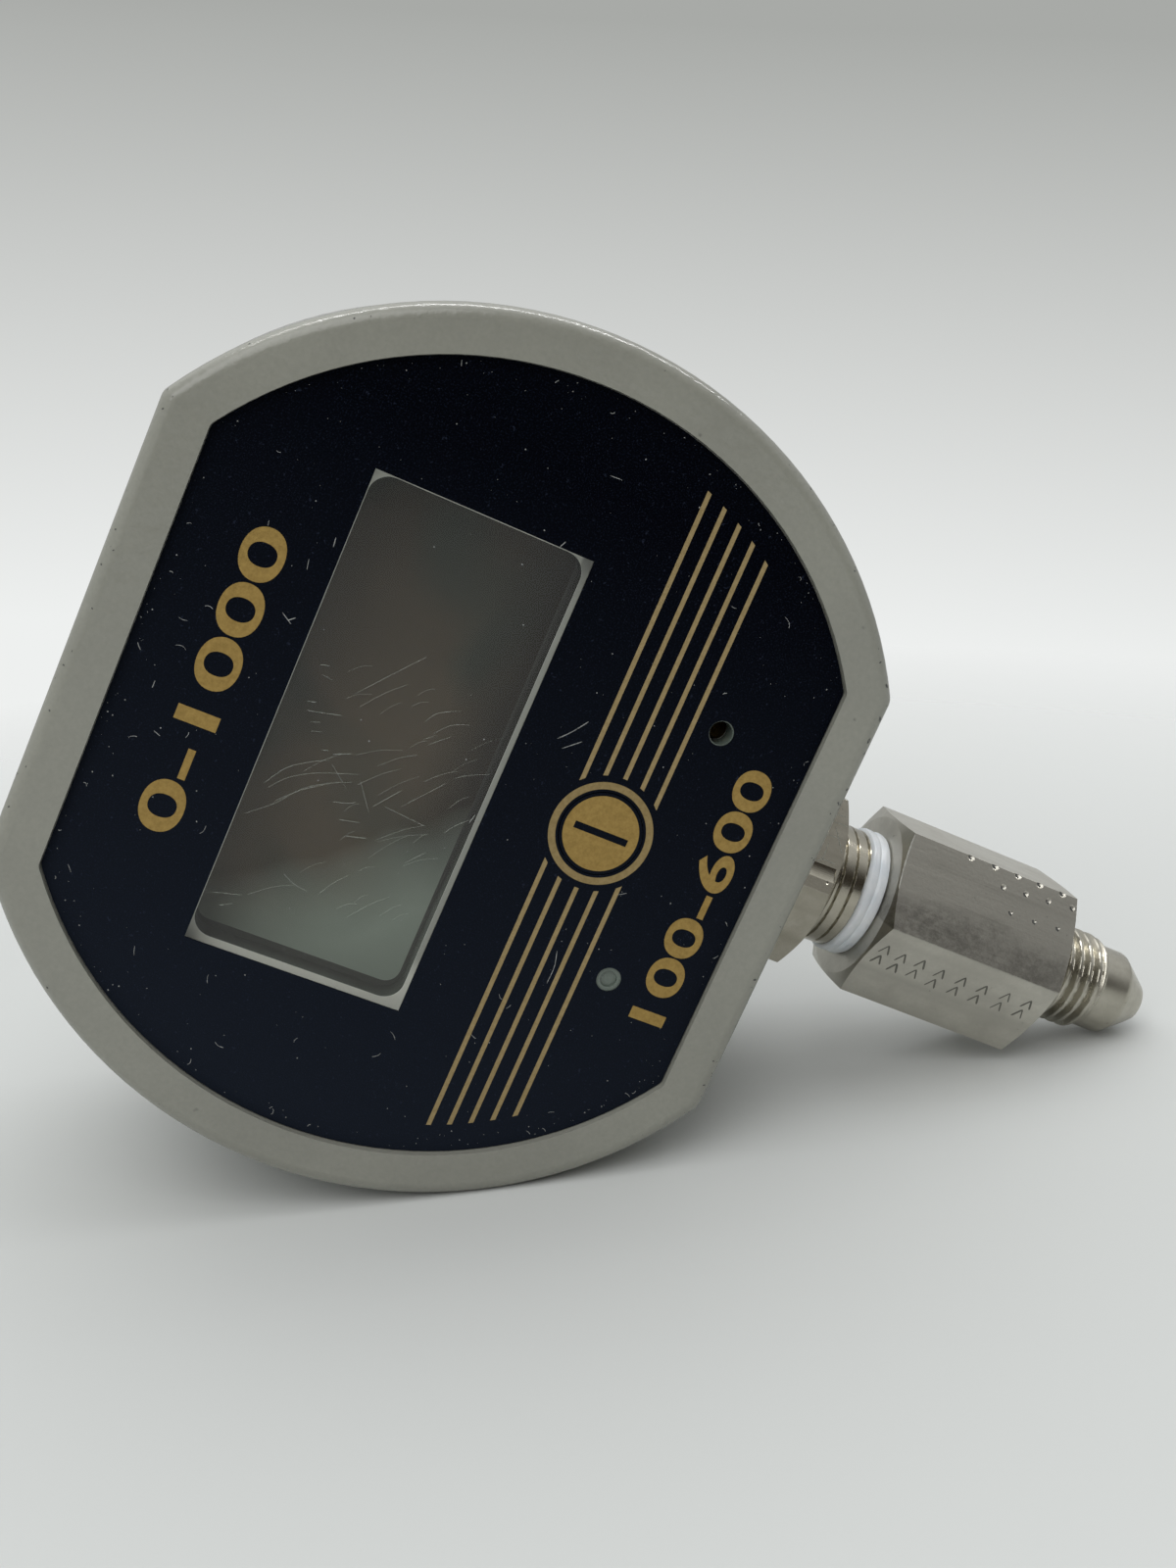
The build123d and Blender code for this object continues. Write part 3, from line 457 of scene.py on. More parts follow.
def boolean(mesh, cutter_mesh, operation):
    """Exact boolean of two meshes as a new mesh."""
    target = new_object("boolean_target", mesh)
    cutter = new_object("boolean_cutter", cutter_mesh)
    modifier = target.modifiers.new("boolean", "BOOLEAN")
    modifier.operation = operation
    modifier.solver = "EXACT"
    modifier.object = cutter
    depsgraph = bpy.context.evaluated_depsgraph_get()
    result = bpy.data.meshes.new_from_object(target.evaluated_get(depsgraph))
    for made in (target, cutter):
        bpy.data.objects.remove(made)
    result.materials.clear()
    return result


def hexagon_mesh(name, turn, low, high, face_radius, slope, both_ends):
    """Hexagonal prism, its corners cut back by a cone of this slope at the lower end or at both."""
    corner = HEX_ACROSS / 2 / math.cos(math.pi / 6)
    turns = [turn + math.pi / 3 * index for index in range(6)]
    rows = [[Vector((corner * math.cos(a), corner * math.sin(a), z)) for a in turns] for z in (low, high)]
    outer = corner * 1.02
    drop = (outer - face_radius) * math.tan(math.radians(slope))
    profile = [(face_radius, low), (outer, low + drop)]
    if both_ends:
        profile += [(outer, high - drop), (face_radius, high)]
    else:
        profile += [(outer, high)]
    return boolean(grid_mesh(name, rows), grid_mesh("cone", lathe_rows(profile, 128)), "INTERSECT")


def thread_rows(radius_at, low, high, pitch, depth, steps_per_pitch, fade, root, flank_width):
    """Rings of a helical thread, from low to high; root and flank widths are parts of half a pitch."""
    rows = []
    steps = int((high - low) / pitch * steps_per_pitch)
    for step in range(steps + 1):
        z = low + (high - low) * step / steps
        ends = min(1.0, (z - low) / (pitch * fade), (high - z) / (pitch * fade)) if fade else 1.0
        row = []
        for index in range(ROUND_SEGMENTS):
            turn = 2 * math.pi * index / ROUND_SEGMENTS
            phase = (z / pitch - index / ROUND_SEGMENTS) % 1.0
            ridge = min(max((abs(phase - 0.5) * 2 - root) / flank_width, 0.0), 1.0)
            radius = radius_at(z) - depth * (1 - ridge * max(ends, 0.0))
            row.append(Vector((radius * math.cos(turn), radius * math.sin(turn), z)))
        rows.append(row)
    return rows


def plate_mesh(name, loops, matrix, proud):
    """Flat closed plate in the matrix's XY plane, its outline and holes given as loops of (x, y)."""
    made = bmesh.new()
    edges = []
    for loop in loops:
        points = [made.verts.new((x, y, proud)) for x, y in loop]
        edges += [made.edges.new(pair) for pair in zip(points, points[1:] + points[:1])]
    bmesh.ops.triangle_fill(made, edges=edges, use_beauty=True, normal=(0, 0, 1))
    result = bmesh.ops.extrude_face_region(made, geom=list(made.faces))
    moved = [item for item in result["geom"] if isinstance(item, bmesh.types.BMVert)]
    bmesh.ops.translate(made, verts=moved, vec=(0, 0, -proud - PLATE_SUNK))
    bmesh.ops.transform(made, matrix=matrix, verts=made.verts)
    bmesh.ops.recalc_face_normals(made, faces=made.faces)
    return mesh_of(name, made)


def face_matrix(y):
    """Local X is +X, local Y is +Z, from the case centre, looking out of the front at depth y."""
    return Matrix(((1, 0, 0, 0), (0, 0, -1, y), (0, 1, 0, CENTRE_Z), (0, 0, 0, 1)))


def facet_matrix(angle):
    """Local X runs round the axis, local Y is +Z, on the hexagons' flat whose normal has this angle."""
    c, s = math.cos(angle), math.sin(angle)
    distance = HEX_ACROSS / 2
    return Matrix(((-s, 0, c, c * distance), (c, 0, s, s * distance), (0, 1, 0, 0), (0, 0, 0, 1)))


def stroke_loop(points, width):
    """Outline of a thin stroke with pointed ends along a bent line."""
    left, right = [], []
    for index, point in enumerate(points):
        before = points[max(index - 1, 0)]
        after = points[min(index + 1, len(points) - 1)]
        along = (Vector(after) - Vector(before)).normalized()
        side = Vector((-along.y, along.x)) * width / 2
        if index in (0, len(points) - 1):
            side *= 0.35
        left.append(tuple(Vector(point) + side))
        right.append(tuple(Vector(point) - side))
    return left + right[::-1]


def smooth_line(points, steps=5):
    """Finer line through the points."""
    line = []
    for index in range(len(points) - 1):
        a = Vector(points[max(index - 1, 0)])
        b = Vector(points[index])
        c = Vector(points[index + 1])
        d = Vector(points[min(index + 2, len(points) - 1)])
        for step in range(steps):
            t = step / steps
            line.append(tuple(0.5 * (2 * b + (c - a) * t + (2 * a - 5 * b + 4 * c - d) * t ** 2
                                     + (3 * b - a - 3 * c + d) * t ** 3)))
    line.append(tuple(points[-1]))
    return line


def dot_loop(x, y, size):
    """Irregular speck."""
    count = rng.randint(5, 7)
    start = rng.random() * math.pi
    loop = []
    for index in range(count):
        turn = start + 2 * math.pi * index / count
        loop.append((x + size * rng.uniform(0.35, 0.6) * math.cos(turn),
                     y + size * rng.uniform(0.35, 0.6) * math.sin(turn)))
    return loop


def circle_loop(x, y, radius):
    turns = [2 * math.pi * index / CIRCLE_POINTS for index in range(CIRCLE_POINTS)]
    return [(x + radius * math.cos(turn), y + radius * math.sin(turn)) for turn in turns]


def rounded_loop(half_x, half_y, corner, shift):
    """Rectangle with rounded corners round a shifted centre."""
    loop = []
    for side_x, side_y, first in ((1, 1, 0), (-1, 1, 90), (-1, -1, 180), (1, -1, 270)):
        for step in range(7):
            turn = math.radians(first + 15 * step)
            loop.append((side_x * (half_x - corner) + corner * math.cos(turn) + shift[0],
                         side_y * (half_y - corner) + corner * math.sin(turn) + shift[1]))
    return loop


def frame_plate(name, half_x, half_y, corner, shift, depth):
    """Flat frame at this depth, given by half its clear size, the corners' radius and its centre."""
    inner = rounded_loop(half_x, half_y, corner, shift)
    outer = rounded_loop(half_x + FRAME_BAND, half_y + FRAME_BAND, 0.5 * MM, shift)
    return plate_mesh(name, [outer, inner], face_matrix(depth), 0.02 * MM)


def joined_piece(name, meshes, material):
    """Several meshes as one piece of the gauge."""
    made = bmesh.new()
    for mesh in meshes:
        made.from_mesh(mesh)
    add_piece(name, mesh_of(name, made), material)


# Finishes of the CAD nodes; a plain one has its colour, roughness, metal and bump

PLAIN_FINISHES = {
    "display_glass": (srgb(60, 62, 56), 0.25),
    "gasket_rubber": (srgb(30, 30, 30), 0.75),
    "board": (srgb(20, 84, 48), 0.45),
    "chip_plastic": (srgb(28, 28, 30), 0.55),
    "tinned_metal": (srgb(200, 200, 196), 0.3, 1.0),
    "zinc_steel": (srgb(190, 190, 186), 0.35, 1.0),
    "switch_plastic": (srgb(26, 26, 28), 0.5),
    "trimmer_plastic": (srgb(40, 70, 150), 0.45),
    "rotor_brass": (srgb(190, 160, 90), 0.35, 1.0),
    "tray_plastic": (srgb(24, 24, 26), 0.5),
    "cell_jacket": (srgb(60, 62, 70), 0.3),
    "foam": (srgb(60, 60, 60), 0.95, 0.0, 0.8),
}
MATERIALS = {
    "coated_metal": coated_metal(),
    "label_print": label_print(),
    "button_print": label_print(),
    "clear_pane": clear_acrylic(),
    "display_film": display_film(),
    "nickel_port": turned_steel("nickel_port", srgb(186, 181, 168), srgb(158, 153, 139), 0.2, 0.3,
                                relief=0.12),
    "stainless": turned_steel("stainless", srgb(201, 198, 188), srgb(178, 175, 166), 0.34, 0.6,
                              stain=0.75),
    "tape": white_tape(),
}
for finish_name, finish in PLAIN_FINISHES.items():
    MATERIALS[finish_name] = plain(finish_name, *finish)
NODE_SLOTS = {entry["node"]: entry["material_slot"] for entry in frame["record"]["subparts"]}
for node_name, node_object in frame["nodes"].items():
    node_object.data.materials.clear()
    node_object.data.materials.append(MATERIALS[NODE_SLOTS[node_name]])

# Print on the label: a ring round the button, five stripes on each side of it and plain numbers

PRINT_PROUD = 0.012 * MM
BUTTON_RISE = BUTTON_Z - CENTRE_Z
RING_OUTER = 5.12 * MM
RING_INNER = 4.41 * MM
DISC_RADIUS = 3.74 * MM
BAR_LENGTH = 5.54 * MM
BAR_WIDTH = 0.71 * MM
STRIPE_COUNT = 5
STRIPE_PITCH = 1.93 * MM
STRIPE_WIDTH = 0.46 * MM
STRIPE_INNER = 5.78 * MM
STRIPE_OUTER = 35.5 * MM
LABEL_FACE = face_matrix(LABEL_Y)


def stripe_loop(row, side):
    """One stripe: its ends follow the ring round the button and the round side of the label."""
    loop = []
    for edge, order in ((-1, 1), (1, -1)):
        rise = BUTTON_RISE + row * STRIPE_PITCH + edge * STRIPE_WIDTH / 2
        inner = math.sqrt(max(STRIPE_INNER ** 2 - (rise - BUTTON_RISE) ** 2, 0))
        outer = math.sqrt(STRIPE_OUTER ** 2 - rise ** 2)
        loop += [(side * inner, rise), (side * outer, rise)][::order]
    return loop


def number_print(name, body_text, centre, height, length, weight, material):
    """Plain printed number, centred, with a given cap height and length."""
    curve = bpy.data.curves.new(name, "FONT")
    curve.body = body_text
    curve.align_x = "CENTER"
    curve.align_y = "CENTER"
    curve.offset = weight
    curve.extrude = 0.5
    curve.resolution_u = 10
    source = bpy.data.objects.new(name, curve)
    mesh = bpy.data.meshes.new_from_object(source)
    bpy.data.objects.remove(source)
    low = [min(vertex.co[axis] for vertex in mesh.vertices) for axis in range(3)]
    high = [max(vertex.co[axis] for vertex in mesh.vertices) for axis in range(3)]
    middle = [(a + b) / 2 for a, b in zip(low, high)]
    thickness = PRINT_PROUD + PLATE_SUNK
    scale = (length / (high[0] - low[0]), height / (high[1] - low[1]), thickness / (high[2] - low[2]))
    for vertex in mesh.vertices:
        spot = [(vertex.co[axis] - middle[axis]) * scale[axis] for axis in range(3)]
        vertex.co = LABEL_FACE @ Vector((spot[0] + centre[0], spot[1] + centre[1],
                                         spot[2] + PRINT_PROUD - thickness / 2))
    mesh.materials.clear()
    add_piece(name, mesh, material)


stripe_gold = gold_print("stripe_gold", srgb(158, 138, 96), srgb(139, 120, 78))
disc_gold = gold_print("disc_gold", srgb(162, 133, 68), srgb(138, 111, 50))
ring_gold = gold_print("ring_gold", srgb(150, 130, 86), srgb(130, 110, 66))

stripes = []
for row_index in range(STRIPE_COUNT):
    for stripe_side in (-1, 1):
        row_loop = stripe_loop(row_index - (STRIPE_COUNT - 1) / 2, stripe_side)
        stripes.append(plate_mesh("stripe", [row_loop], LABEL_FACE, PRINT_PROUD))
joined_piece("label_stripes", stripes, stripe_gold)
ring_loops = [circle_loop(0, BUTTON_RISE, radius) for radius in (RING_OUTER, RING_INNER)]
ring_mesh = plate_mesh("button_ring", ring_loops, LABEL_FACE, PRINT_PROUD)
add_piece("button_ring", ring_mesh, ring_gold)
bar_loop = [(side * BAR_WIDTH / 2, BUTTON_RISE + end * BAR_LENGTH / 2) for side, end in CORNER_SIGNS]
disc_loops = [circle_loop(0, BUTTON_RISE, DISC_RADIUS), bar_loop]
disc_mesh = plate_mesh("button_disc", disc_loops, LABEL_FACE, PRINT_PROUD)
add_piece("button_disc", disc_mesh, disc_gold, body="button")
number_print("upper_number", "0-1000", (0.1 * MM, 23.6 * MM), 4.1 * MM, 30.0 * MM, 0.018, disc_gold)
number_print("lower_number", "100-600", (-2.4 * MM, -27.5 * MM), 3.8 * MM, 27.5 * MM, 0.02, disc_gold)

# Wear in millimetres from the case centre: scratches, ticks, fibres and dust, and chips on the rim

pane_strokes = [
    [(3.9, 11.2), (6.8, 8.8), (9.5, 6.5)],
    [(-10.4, 16.4), (-8.5, 14.2), (-6.4, 12.5), (-5.0, 10.5), (-4.0, 8.3)],
    [(-7.0, 15.8), (-4.9, 14.4), (-3.5, 12.4), (-2.8, 11.0)],
    [(-7.3, 15.3), (-5.8, 14.0), (-4.4, 11.7), (-3.1, 8.0)],
    [(-8.3, 14.3), (-6.5, 12.5), (-4.9, 10.2)],
    [(-3.1, 10.7), (-4.8, 8.6)],
    [(-3.5, 7.8), (-6.2, 5.8)],
    [(-3.1, 3.8), (-5.5, 5.7)],
    [(-0.2, -0.3), (0.7, -1.7), (1.4, -3.3)],
    [(3.8, 4.3), (5.0, 3.5), (6.0, 1.6)],
    [(3.1, 3.1), (4.4, 1.9), (5.1, 0.3)],
    [(2.2, 3.8), (3.1, 2.7)],
    [(1.9, 3.2), (3.4, 1.5)],
    [(-5.4, -1.5), (-4.2, -2.4), (-3.1, -3.6)],
    [(-14.6, 10.9), (-15.2, 9.6), (-15.4, 8.3)],
    [(-18.6, 16.4), (-17.9, 13.8)],
    [(-19.6, 15.4), (-19.0, 14.3)],
    [(-9.5, 0.8), (-7.9, -0.6)],
    [(-4.5, 3.2), (-0.8, 0.1)],
    [(-5.1, 4.6), (-5.5, 0.4)],
]
pane_ticks = [
    [(5.2, 15.2), (5.4, 14.3)],
    [(4.4, 14.7), (4.3, 13.6)],
    [(1.6, 15.0), (1.8, 14.2)],
    [(0.8, 14.7), (1.0, 13.7), (1.5, 11.6)],
    [(-0.1, 14.0), (0.2, 13.2)],
    [(-0.9, 13.7), (-0.6, 12.7)],
    [(-2.2, 12.1), (-2.0, 11.5)],
    [(-2.2, 11.0), (-1.5, 9.4)],
    [(-6.4, 9.3), (-6.0, 7.8), (-5.6, 7.3)],
    [(-7.8, 8.1), (-7.4, 6.3)],
    [(-9.1, 7.1), (-8.6, 5.1)],
]
label_strokes = [
    [(16.5, 18.2), (15.6, 18.1)],
    [(13.8, 19.7), (12.8, 19.5)],
    [(8.4, 20.1), (7.7, 19.0)],
    [(7.9, 19.4), (8.4, 18.8)],
    [(7.0, -7.8), (8.2, -8.9), (9.6, -9.9)],
    [(6.3, -8.6), (7.6, -10.1)],
    [(-12.4, -16.3), (-14.0, -16.7), (-15.8, -16.7)],
    [(-3.6, -3.3), (-2.7, -3.5)],
    [(24.2, -1.1), (23.6, -0.8)],
]
rim_chips = [(24.0, 0.55), (20.5, 0.7), (18.2, 0.6), (16.9, 0.35), (13.0, 0.5), (11.4, 0.8), (26.0, 0.4),
             (-8.0, 0.5), (-20.0, 0.35)]

# The first veil is a painted highlight along the adapter's edge; the others are scratches and dust
painted_edge_highlight = veil("painted_edge_highlight", srgb(205, 205, 198), 0.7)
faint_veil = veil("faint_veil", srgb(180, 186, 176), 0.42)
dust_white = veil("dust_white", srgb(196, 198, 196), 0.62)
# Dark chips of the rim; the same dark also paints the shade beside the adapter's dents
dark_chip_and_shade = plain("dark_chip_and_shade", srgb(62, 62, 60), 0.6)
PANE_FACE = face_matrix(PANE_Y)
FIBRE_STEPS = 4

# Where the wear is strewn: the label's reach and flats, the window, the button's ring and the two holes
LABEL_REACH = 38.3
LABEL_FLAT = 31.8
WINDOW_SIDE = 23.6
WINDOW_FOOT = -4.3
WINDOW_HEAD = 17.3
PANE_SIDE = 22.0
PANE_FOOT = -3.4
PANE_HEAD = 16.4
BUTTON_RING = 5.6
BUTTON_DROP = 15.5
HOLE_SIDE = 13.3
HOLE_DROP = 22.3
HOLE_RADIUS = 1.4


def strokes_piece(name, strokes, width, matrix, material):
    """Thin marks in millimetres on one plane, joined into one piece."""
    meshes = []
    for points in strokes:
        line = [(x * MM, y * MM) for x, y in smooth_line(points)]
        loop = stroke_loop(line, width * rng.uniform(0.75, 1.25))
        meshes.append(plate_mesh("stroke", [loop], matrix, 0.01 * MM))
    joined_piece(name, meshes, material)


def speck(x, y, size, face):
    """Irregular speck of dust on a plane."""
    return plate_mesh("speck", [dot_loop(x * MM, y * MM, size * MM)], face, 0.01 * MM)


def fibre(x, y, length, bend):
    """Short curled line from a place, in millimetres."""
    heading = rng.uniform(0, 2 * math.pi)
    points = [(x, y)]
    for _ in range(FIBRE_STEPS):
        heading += rng.uniform(0.2, 1.0) * bend
        x += math.cos(heading) * length / FIBRE_STEPS
        y += math.sin(heading) * length / FIBRE_STEPS
        points.append((x, y))
    return points


def label_inset(x, y):
    """How far a place lies inside the label's edge."""
    return min(LABEL_REACH - math.hypot(x, y), LABEL_FLAT - abs(y))


def on_label(x, y, margin):
    """True where the label shows, away from its edge, the window, the button and the holes."""
    if label_inset(x, y) < margin + 0.1:
        return False
    if abs(x) < WINDOW_SIDE + margin and WINDOW_FOOT - margin < y < WINDOW_HEAD + margin:
        return False
    from_hole = math.hypot(abs(x) - HOLE_SIDE, y + HOLE_DROP)
    return math.hypot(x, y + BUTTON_DROP) > BUTTON_RING and from_hole > HOLE_RADIUS + margin * 0.5


def strewn(count, fits):
    """Random places on the front that pass a test."""
    spots = []
    while len(spots) < count:
        x, y = rng.uniform(-38, 38), rng.uniform(-32, 32)
        if fits(x, y):
            spots.append((x, y))
    return spots


def label_spots(count, margin):
    return strewn(count, lambda x, y: on_label(x, y, margin))


def border_spots(count):
    """Places near the label's edge, where dust gathers."""
    return strewn(count, lambda x, y: 0.35 < label_inset(x, y) < 1.6 * rng.random() + 0.4)


strokes_piece("pane_scratches", pane_strokes, 0.04 * MM, PANE_FACE, faint_veil)
strokes_piece("pane_ticks", pane_ticks, 0.05 * MM, PANE_FACE, faint_veil)
fine_arcs = []
for _ in range(34):
    arc_x, arc_y = rng.uniform(-19, 6), rng.uniform(-2, 15)
    turn = rng.uniform(0.6, 1.1)
    span = rng.uniform(1.5, 5.0)
    mid = (arc_x + span / 2 * math.cos(turn) + 0.25, arc_y - span / 2 * math.sin(turn))
    end = (arc_x + span * math.cos(turn), arc_y - span * math.sin(turn))
    if abs(end[0]) < PANE_SIDE + 0.5 and PANE_FOOT - 0.2 < end[1] < PANE_HEAD + 0.2:
        fine_arcs.append([(arc_x, arc_y), mid, end])
strokes_piece("pane_fine_scratches", fine_arcs, 0.022 * MM, PANE_FACE, faint_veil)

# Pale finish of the ledge and dark border of the display, which lies a little off the opening's middle; both
# have painted shade along their lower sides

BORDER_HALF_X = OPENING_HALF_X - 0.3 * MM
BORDER_HALF_Z = OPENING_HALF_Z - 0.15 * MM
BORDER_CORNER = 1.5 * MM
OPENING_CENTRE = (0, WINDOW_Z - CENTRE_Z)
BORDER_CENTRE = (0.35 * MM, WINDOW_Z - CENTRE_Z + 0.15 * MM)

# The ledge's pale finish, greyer with painted shade along its lower side
ledge_mesh = frame_plate("ledge_finish_and_shade", OPENING_HALF_X + 0.02 * MM, OPENING_HALF_Z + 0.02 * MM,
                         OPENING_CORNER, OPENING_CENTRE, LEDGE_Y)
add_piece("ledge_finish_and_shade", ledge_mesh, ledge_metal_and_shade())
# The display's dark border, with painted shade near black along its lower side
border_mesh = frame_plate("display_mask_and_shade", BORDER_HALF_X, BORDER_HALF_Z, BORDER_CORNER, BORDER_CENTRE,
                          DISPLAY_Y)
add_piece("display_mask_and_shade", border_mesh, border_print_and_shade())

# Wear of the label, dust on the pane and chips of the rim

strokes_piece("label_scratches", label_strokes, 0.065 * MM, LABEL_FACE, dust_white)
fibres = [fibre(x, y, rng.uniform(0.4, 1.2), rng.uniform(-0.6, 0.6)) for x, y in label_spots(26, 1.8)]
fibres += [fibre(x, y, rng.uniform(0.3, 0.8), rng.uniform(-1, 1)) for x, y in border_spots(22)]
strokes_piece("label_fibres", fibres, 0.045 * MM, LABEL_FACE, dust_white)
dust = []
for spot_x, spot_y in label_spots(190, 0.4) + border_spots(150):
    dust.append(speck(spot_x, spot_y, rng.choice((0.04, 0.06, 0.06, 0.09, 0.14)), LABEL_FACE))
joined_piece("label_dust", dust, dust_white)
dust = []
for _ in range(26):
    spot_x, spot_y = rng.uniform(-PANE_SIDE, PANE_SIDE), rng.uniform(PANE_FOOT, PANE_HEAD)
    dust.append(speck(spot_x, spot_y, rng.choice((0.06, 0.1, 0.14)), PANE_FACE))
joined_piece("pane_dust", dust, dust_white)

RIM_ROUND = 1.4 * MM
CASE_FLAT = CASE_HIGH.z - CENTRE_Z
FLAT_END = math.sqrt(CASE_RADIUS ** 2 - CASE_FLAT ** 2)


def rim_mark(root, outward, tilt, length, slimness):
    """Speck bent over the rim's rounding: root is the rounding's centre, tilt runs from front to side."""
    along = Vector((0, -1, 0)).cross(outward).normalized()
    turned = Matrix.Rotation(rng.uniform(0, math.pi), 2) @ Matrix.Diagonal((1, slimness))
    loop = [tuple(turned @ Vector(point)) for point in dot_loop(0, 0, length)]
    mesh = plate_mesh("chip", [loop], Matrix(), 0.006 * MM)
    for vertex in mesh.vertices:
        lean = tilt + vertex.co.y / RIM_ROUND
        normal = outward * math.sin(lean) + Vector((0, -math.cos(lean), 0))
        vertex.co = root + along * vertex.co.x + normal * (RIM_ROUND + vertex.co.z)
    return mesh


def rim_root(x, upper=False):
    """Centre of the rim's rounding and the way outwards, near the lower or the upper flat."""
    side = 1 if upper else -1
    if abs(x) < FLAT_END:
        outward = Vector((0, 0, side))
        return Vector((x, FRONT_Y + RIM_ROUND, CENTRE_Z + side * (CASE_FLAT - RIM_ROUND))), outward
    bearing = side * math.acos(x / CASE_RADIUS)
    outward = Vector((math.cos(bearing), 0, math.sin(bearing)))
    return Vector((0, FRONT_Y + RIM_ROUND, CENTRE_Z)) + outward * (CASE_RADIUS - RIM_ROUND), outward


chips = []
for chip_x, chip_size in rim_chips:
    chip_tilt = math.radians(rng.uniform(25, 50))
    chips.append(rim_mark(*rim_root(chip_x * MM), chip_tilt, chip_size * MM, 0.5))
for _ in range(60):
    chip_place = rim_root(rng.uniform(-1, 1) * CASE_RADIUS * 0.999, rng.random() < 0.4)
    chip_length = rng.uniform(0.08, 0.3) * MM
    chip_tilt = math.radians(rng.uniform(12, 75))
    chips.append(rim_mark(*chip_place, chip_tilt, chip_length, rng.uniform(0.3, 0.8)))
joined_piece("rim_chips", chips, dark_chip_and_shade)

# Fitting: port hexagon and tapered thread, tape, adapter hexagon, flare thread and nose

HEX_ACROSS = 19.05 * MM
PORT_HEX_TURN = math.radians(-25.5)
PORT_FACE_RADIUS = 9.6 * MM
PORT_SLOPE = 30
PORT_HEX_LOW = 28.9 * MM
NPT_PITCH = 25.4 / 18 * MM
NPT_DEPTH = 0.3 * MM
NPT_RADIUS = 6.85 * MM
NPT_TAPER = 1 / 32
THREAD_IN = 4.0 * MM
RUNOUT = 1.25 * MM
NECK_DEPTH = 0.42 * MM
ADAPTER_TURN = math.radians(30)
ADAPTER_FACE_RADIUS = 9.2 * MM
ADAPTER_SLOPE = 18
FLARE_PITCH = 25.4 / 20 * MM
FLARE_DEPTH = 0.68 * MM
FLARE_RADIUS = 5.556 * MM
FLARE_THREAD_LENGTH = 7.9 * MM
NOSE_RADIUS = 4.87 * MM
NOSE_LENGTH = 3.2 * MM
BORE_RADIUS = 2.2 * MM
TIP_RADIUS = 2.24 * MM
EDGE_ROUND = 0.07 * MM
PORT_FACET = facet_matrix(PORT_HEX_TURN - math.radians(30))
FRONT_FACET = facet_matrix(math.radians(-60))
LOWER_FACET = facet_matrix(math.radians(-120))


def npt_radius(z):
    return NPT_RADIUS - (PORT_HEX_LOW - z) * NPT_TAPER


def bevelled(piece, width, angle):
    """Small rounded edges that catch the light."""
    modifier = piece.modifiers.new("edges", "BEVEL")
    modifier.width = width
    modifier.segments = 2
    modifier.limit_method = "ANGLE"
    modifier.angle_limit = math.radians(angle)


def dented(mesh, matrix, spots, radius, depth):
    """Mesh with round dents of a ball's radius and this depth in the matrix's plane; millimetres."""
    for x, y in spots:
        made = bmesh.new()
        bmesh.ops.create_icosphere(made, subdivisions=2, radius=radius * MM)
        centre = matrix @ Vector((x * MM, y * MM, (radius - depth) * MM))
        bmesh.ops.translate(made, verts=made.verts, vec=centre)
        mesh = boolean(mesh, mesh_of("dent", made), "DIFFERENCE")
    return mesh


def grooved(mesh, matrix, spot, length, radius, depth):
    """Mesh with a shallow round trough along the matrix's local Y; millimetres."""
    profile = [(radius * MM, -length / 2 * MM), (radius * MM, length / 2 * MM)]
    groove = grid_mesh("groove", lathe_rows(profile, 96))
    place_at = Matrix.Translation((spot[0] * MM, spot[1] * MM, (radius - depth) * MM))
    groove.transform(matrix @ place_at @ Matrix.Rotation(math.radians(-90), 4, "X"))
    return boolean(mesh, groove, "DIFFERENCE")


def chamfer_edge(spread):
    """Height at which the end cone meets a flat of the adapter, this far from the flat's middle."""
    reach = math.hypot(spread, HEX_ACROSS / 2)
    return ADAPTER_HIGH.z - (reach - ADAPTER_FACE_RADIUS) * math.tan(math.radians(ADAPTER_SLOPE))


# Port: a turned trough, a dent and a few scratches on its front facet
port_strokes = [
    [(-2.0, 29.7), (-1.95, 31.4)],
    [(-0.6, 29.2), (2.2, 30.6)],
    [(1.0, 29.3), (0.8, 32.5)],
    [(2.6, 29.2), (2.5, 33.4)],
    [(0.2, 30.9), (-2.2, 31.5), (-2.3, 33.6)],
    [(3.6, 29.4), (3.3, 33.0)],
]
port_mesh = hexagon_mesh("port_hexagon", PORT_HEX_TURN, PORT_HEX_LOW, CASE_LOW.z, PORT_FACE_RADIUS,
                         PORT_SLOPE, both_ends=False)
port_mesh = grooved(port_mesh, PORT_FACET, (-3.35, 30.9), 2.9, 3.4, 0.1)
port_mesh = dented(port_mesh, PORT_FACET, [(-4.35, 30.2)], 0.8, 0.08)
port_hex = add_piece("port_hexagon", port_mesh, MATERIALS["nickel_port"])
bevelled(port_hex, EDGE_ROUND, 30)
strokes_piece("port_scratches", port_strokes, 0.1 * MM, PORT_FACET, faint_veil)

thread_top = PORT_HEX_LOW - RUNOUT
neck_radius = npt_radius(thread_top) - NECK_DEPTH
thread_part = thread_rows(npt_radius, ADAPTER_HIGH.z - THREAD_IN, thread_top, NPT_PITCH, NPT_DEPTH,
                          steps_per_pitch=24, fade=0.0, root=0.04, flank_width=0.18)
neck_part = lathe_rows([(neck_radius, thread_top + 0.16 * MM), (neck_radius, PORT_HEX_LOW + 0.3 * MM)],
                       ROUND_SEGMENTS)
port_thread = add_piece("port_thread", grid_mesh("port_thread", thread_part + neck_part),
                        MATERIALS["nickel_port"], 35)
bevelled(port_thread, 0.05 * MM, 35)
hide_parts("pressure_port")
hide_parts("pressure_port")
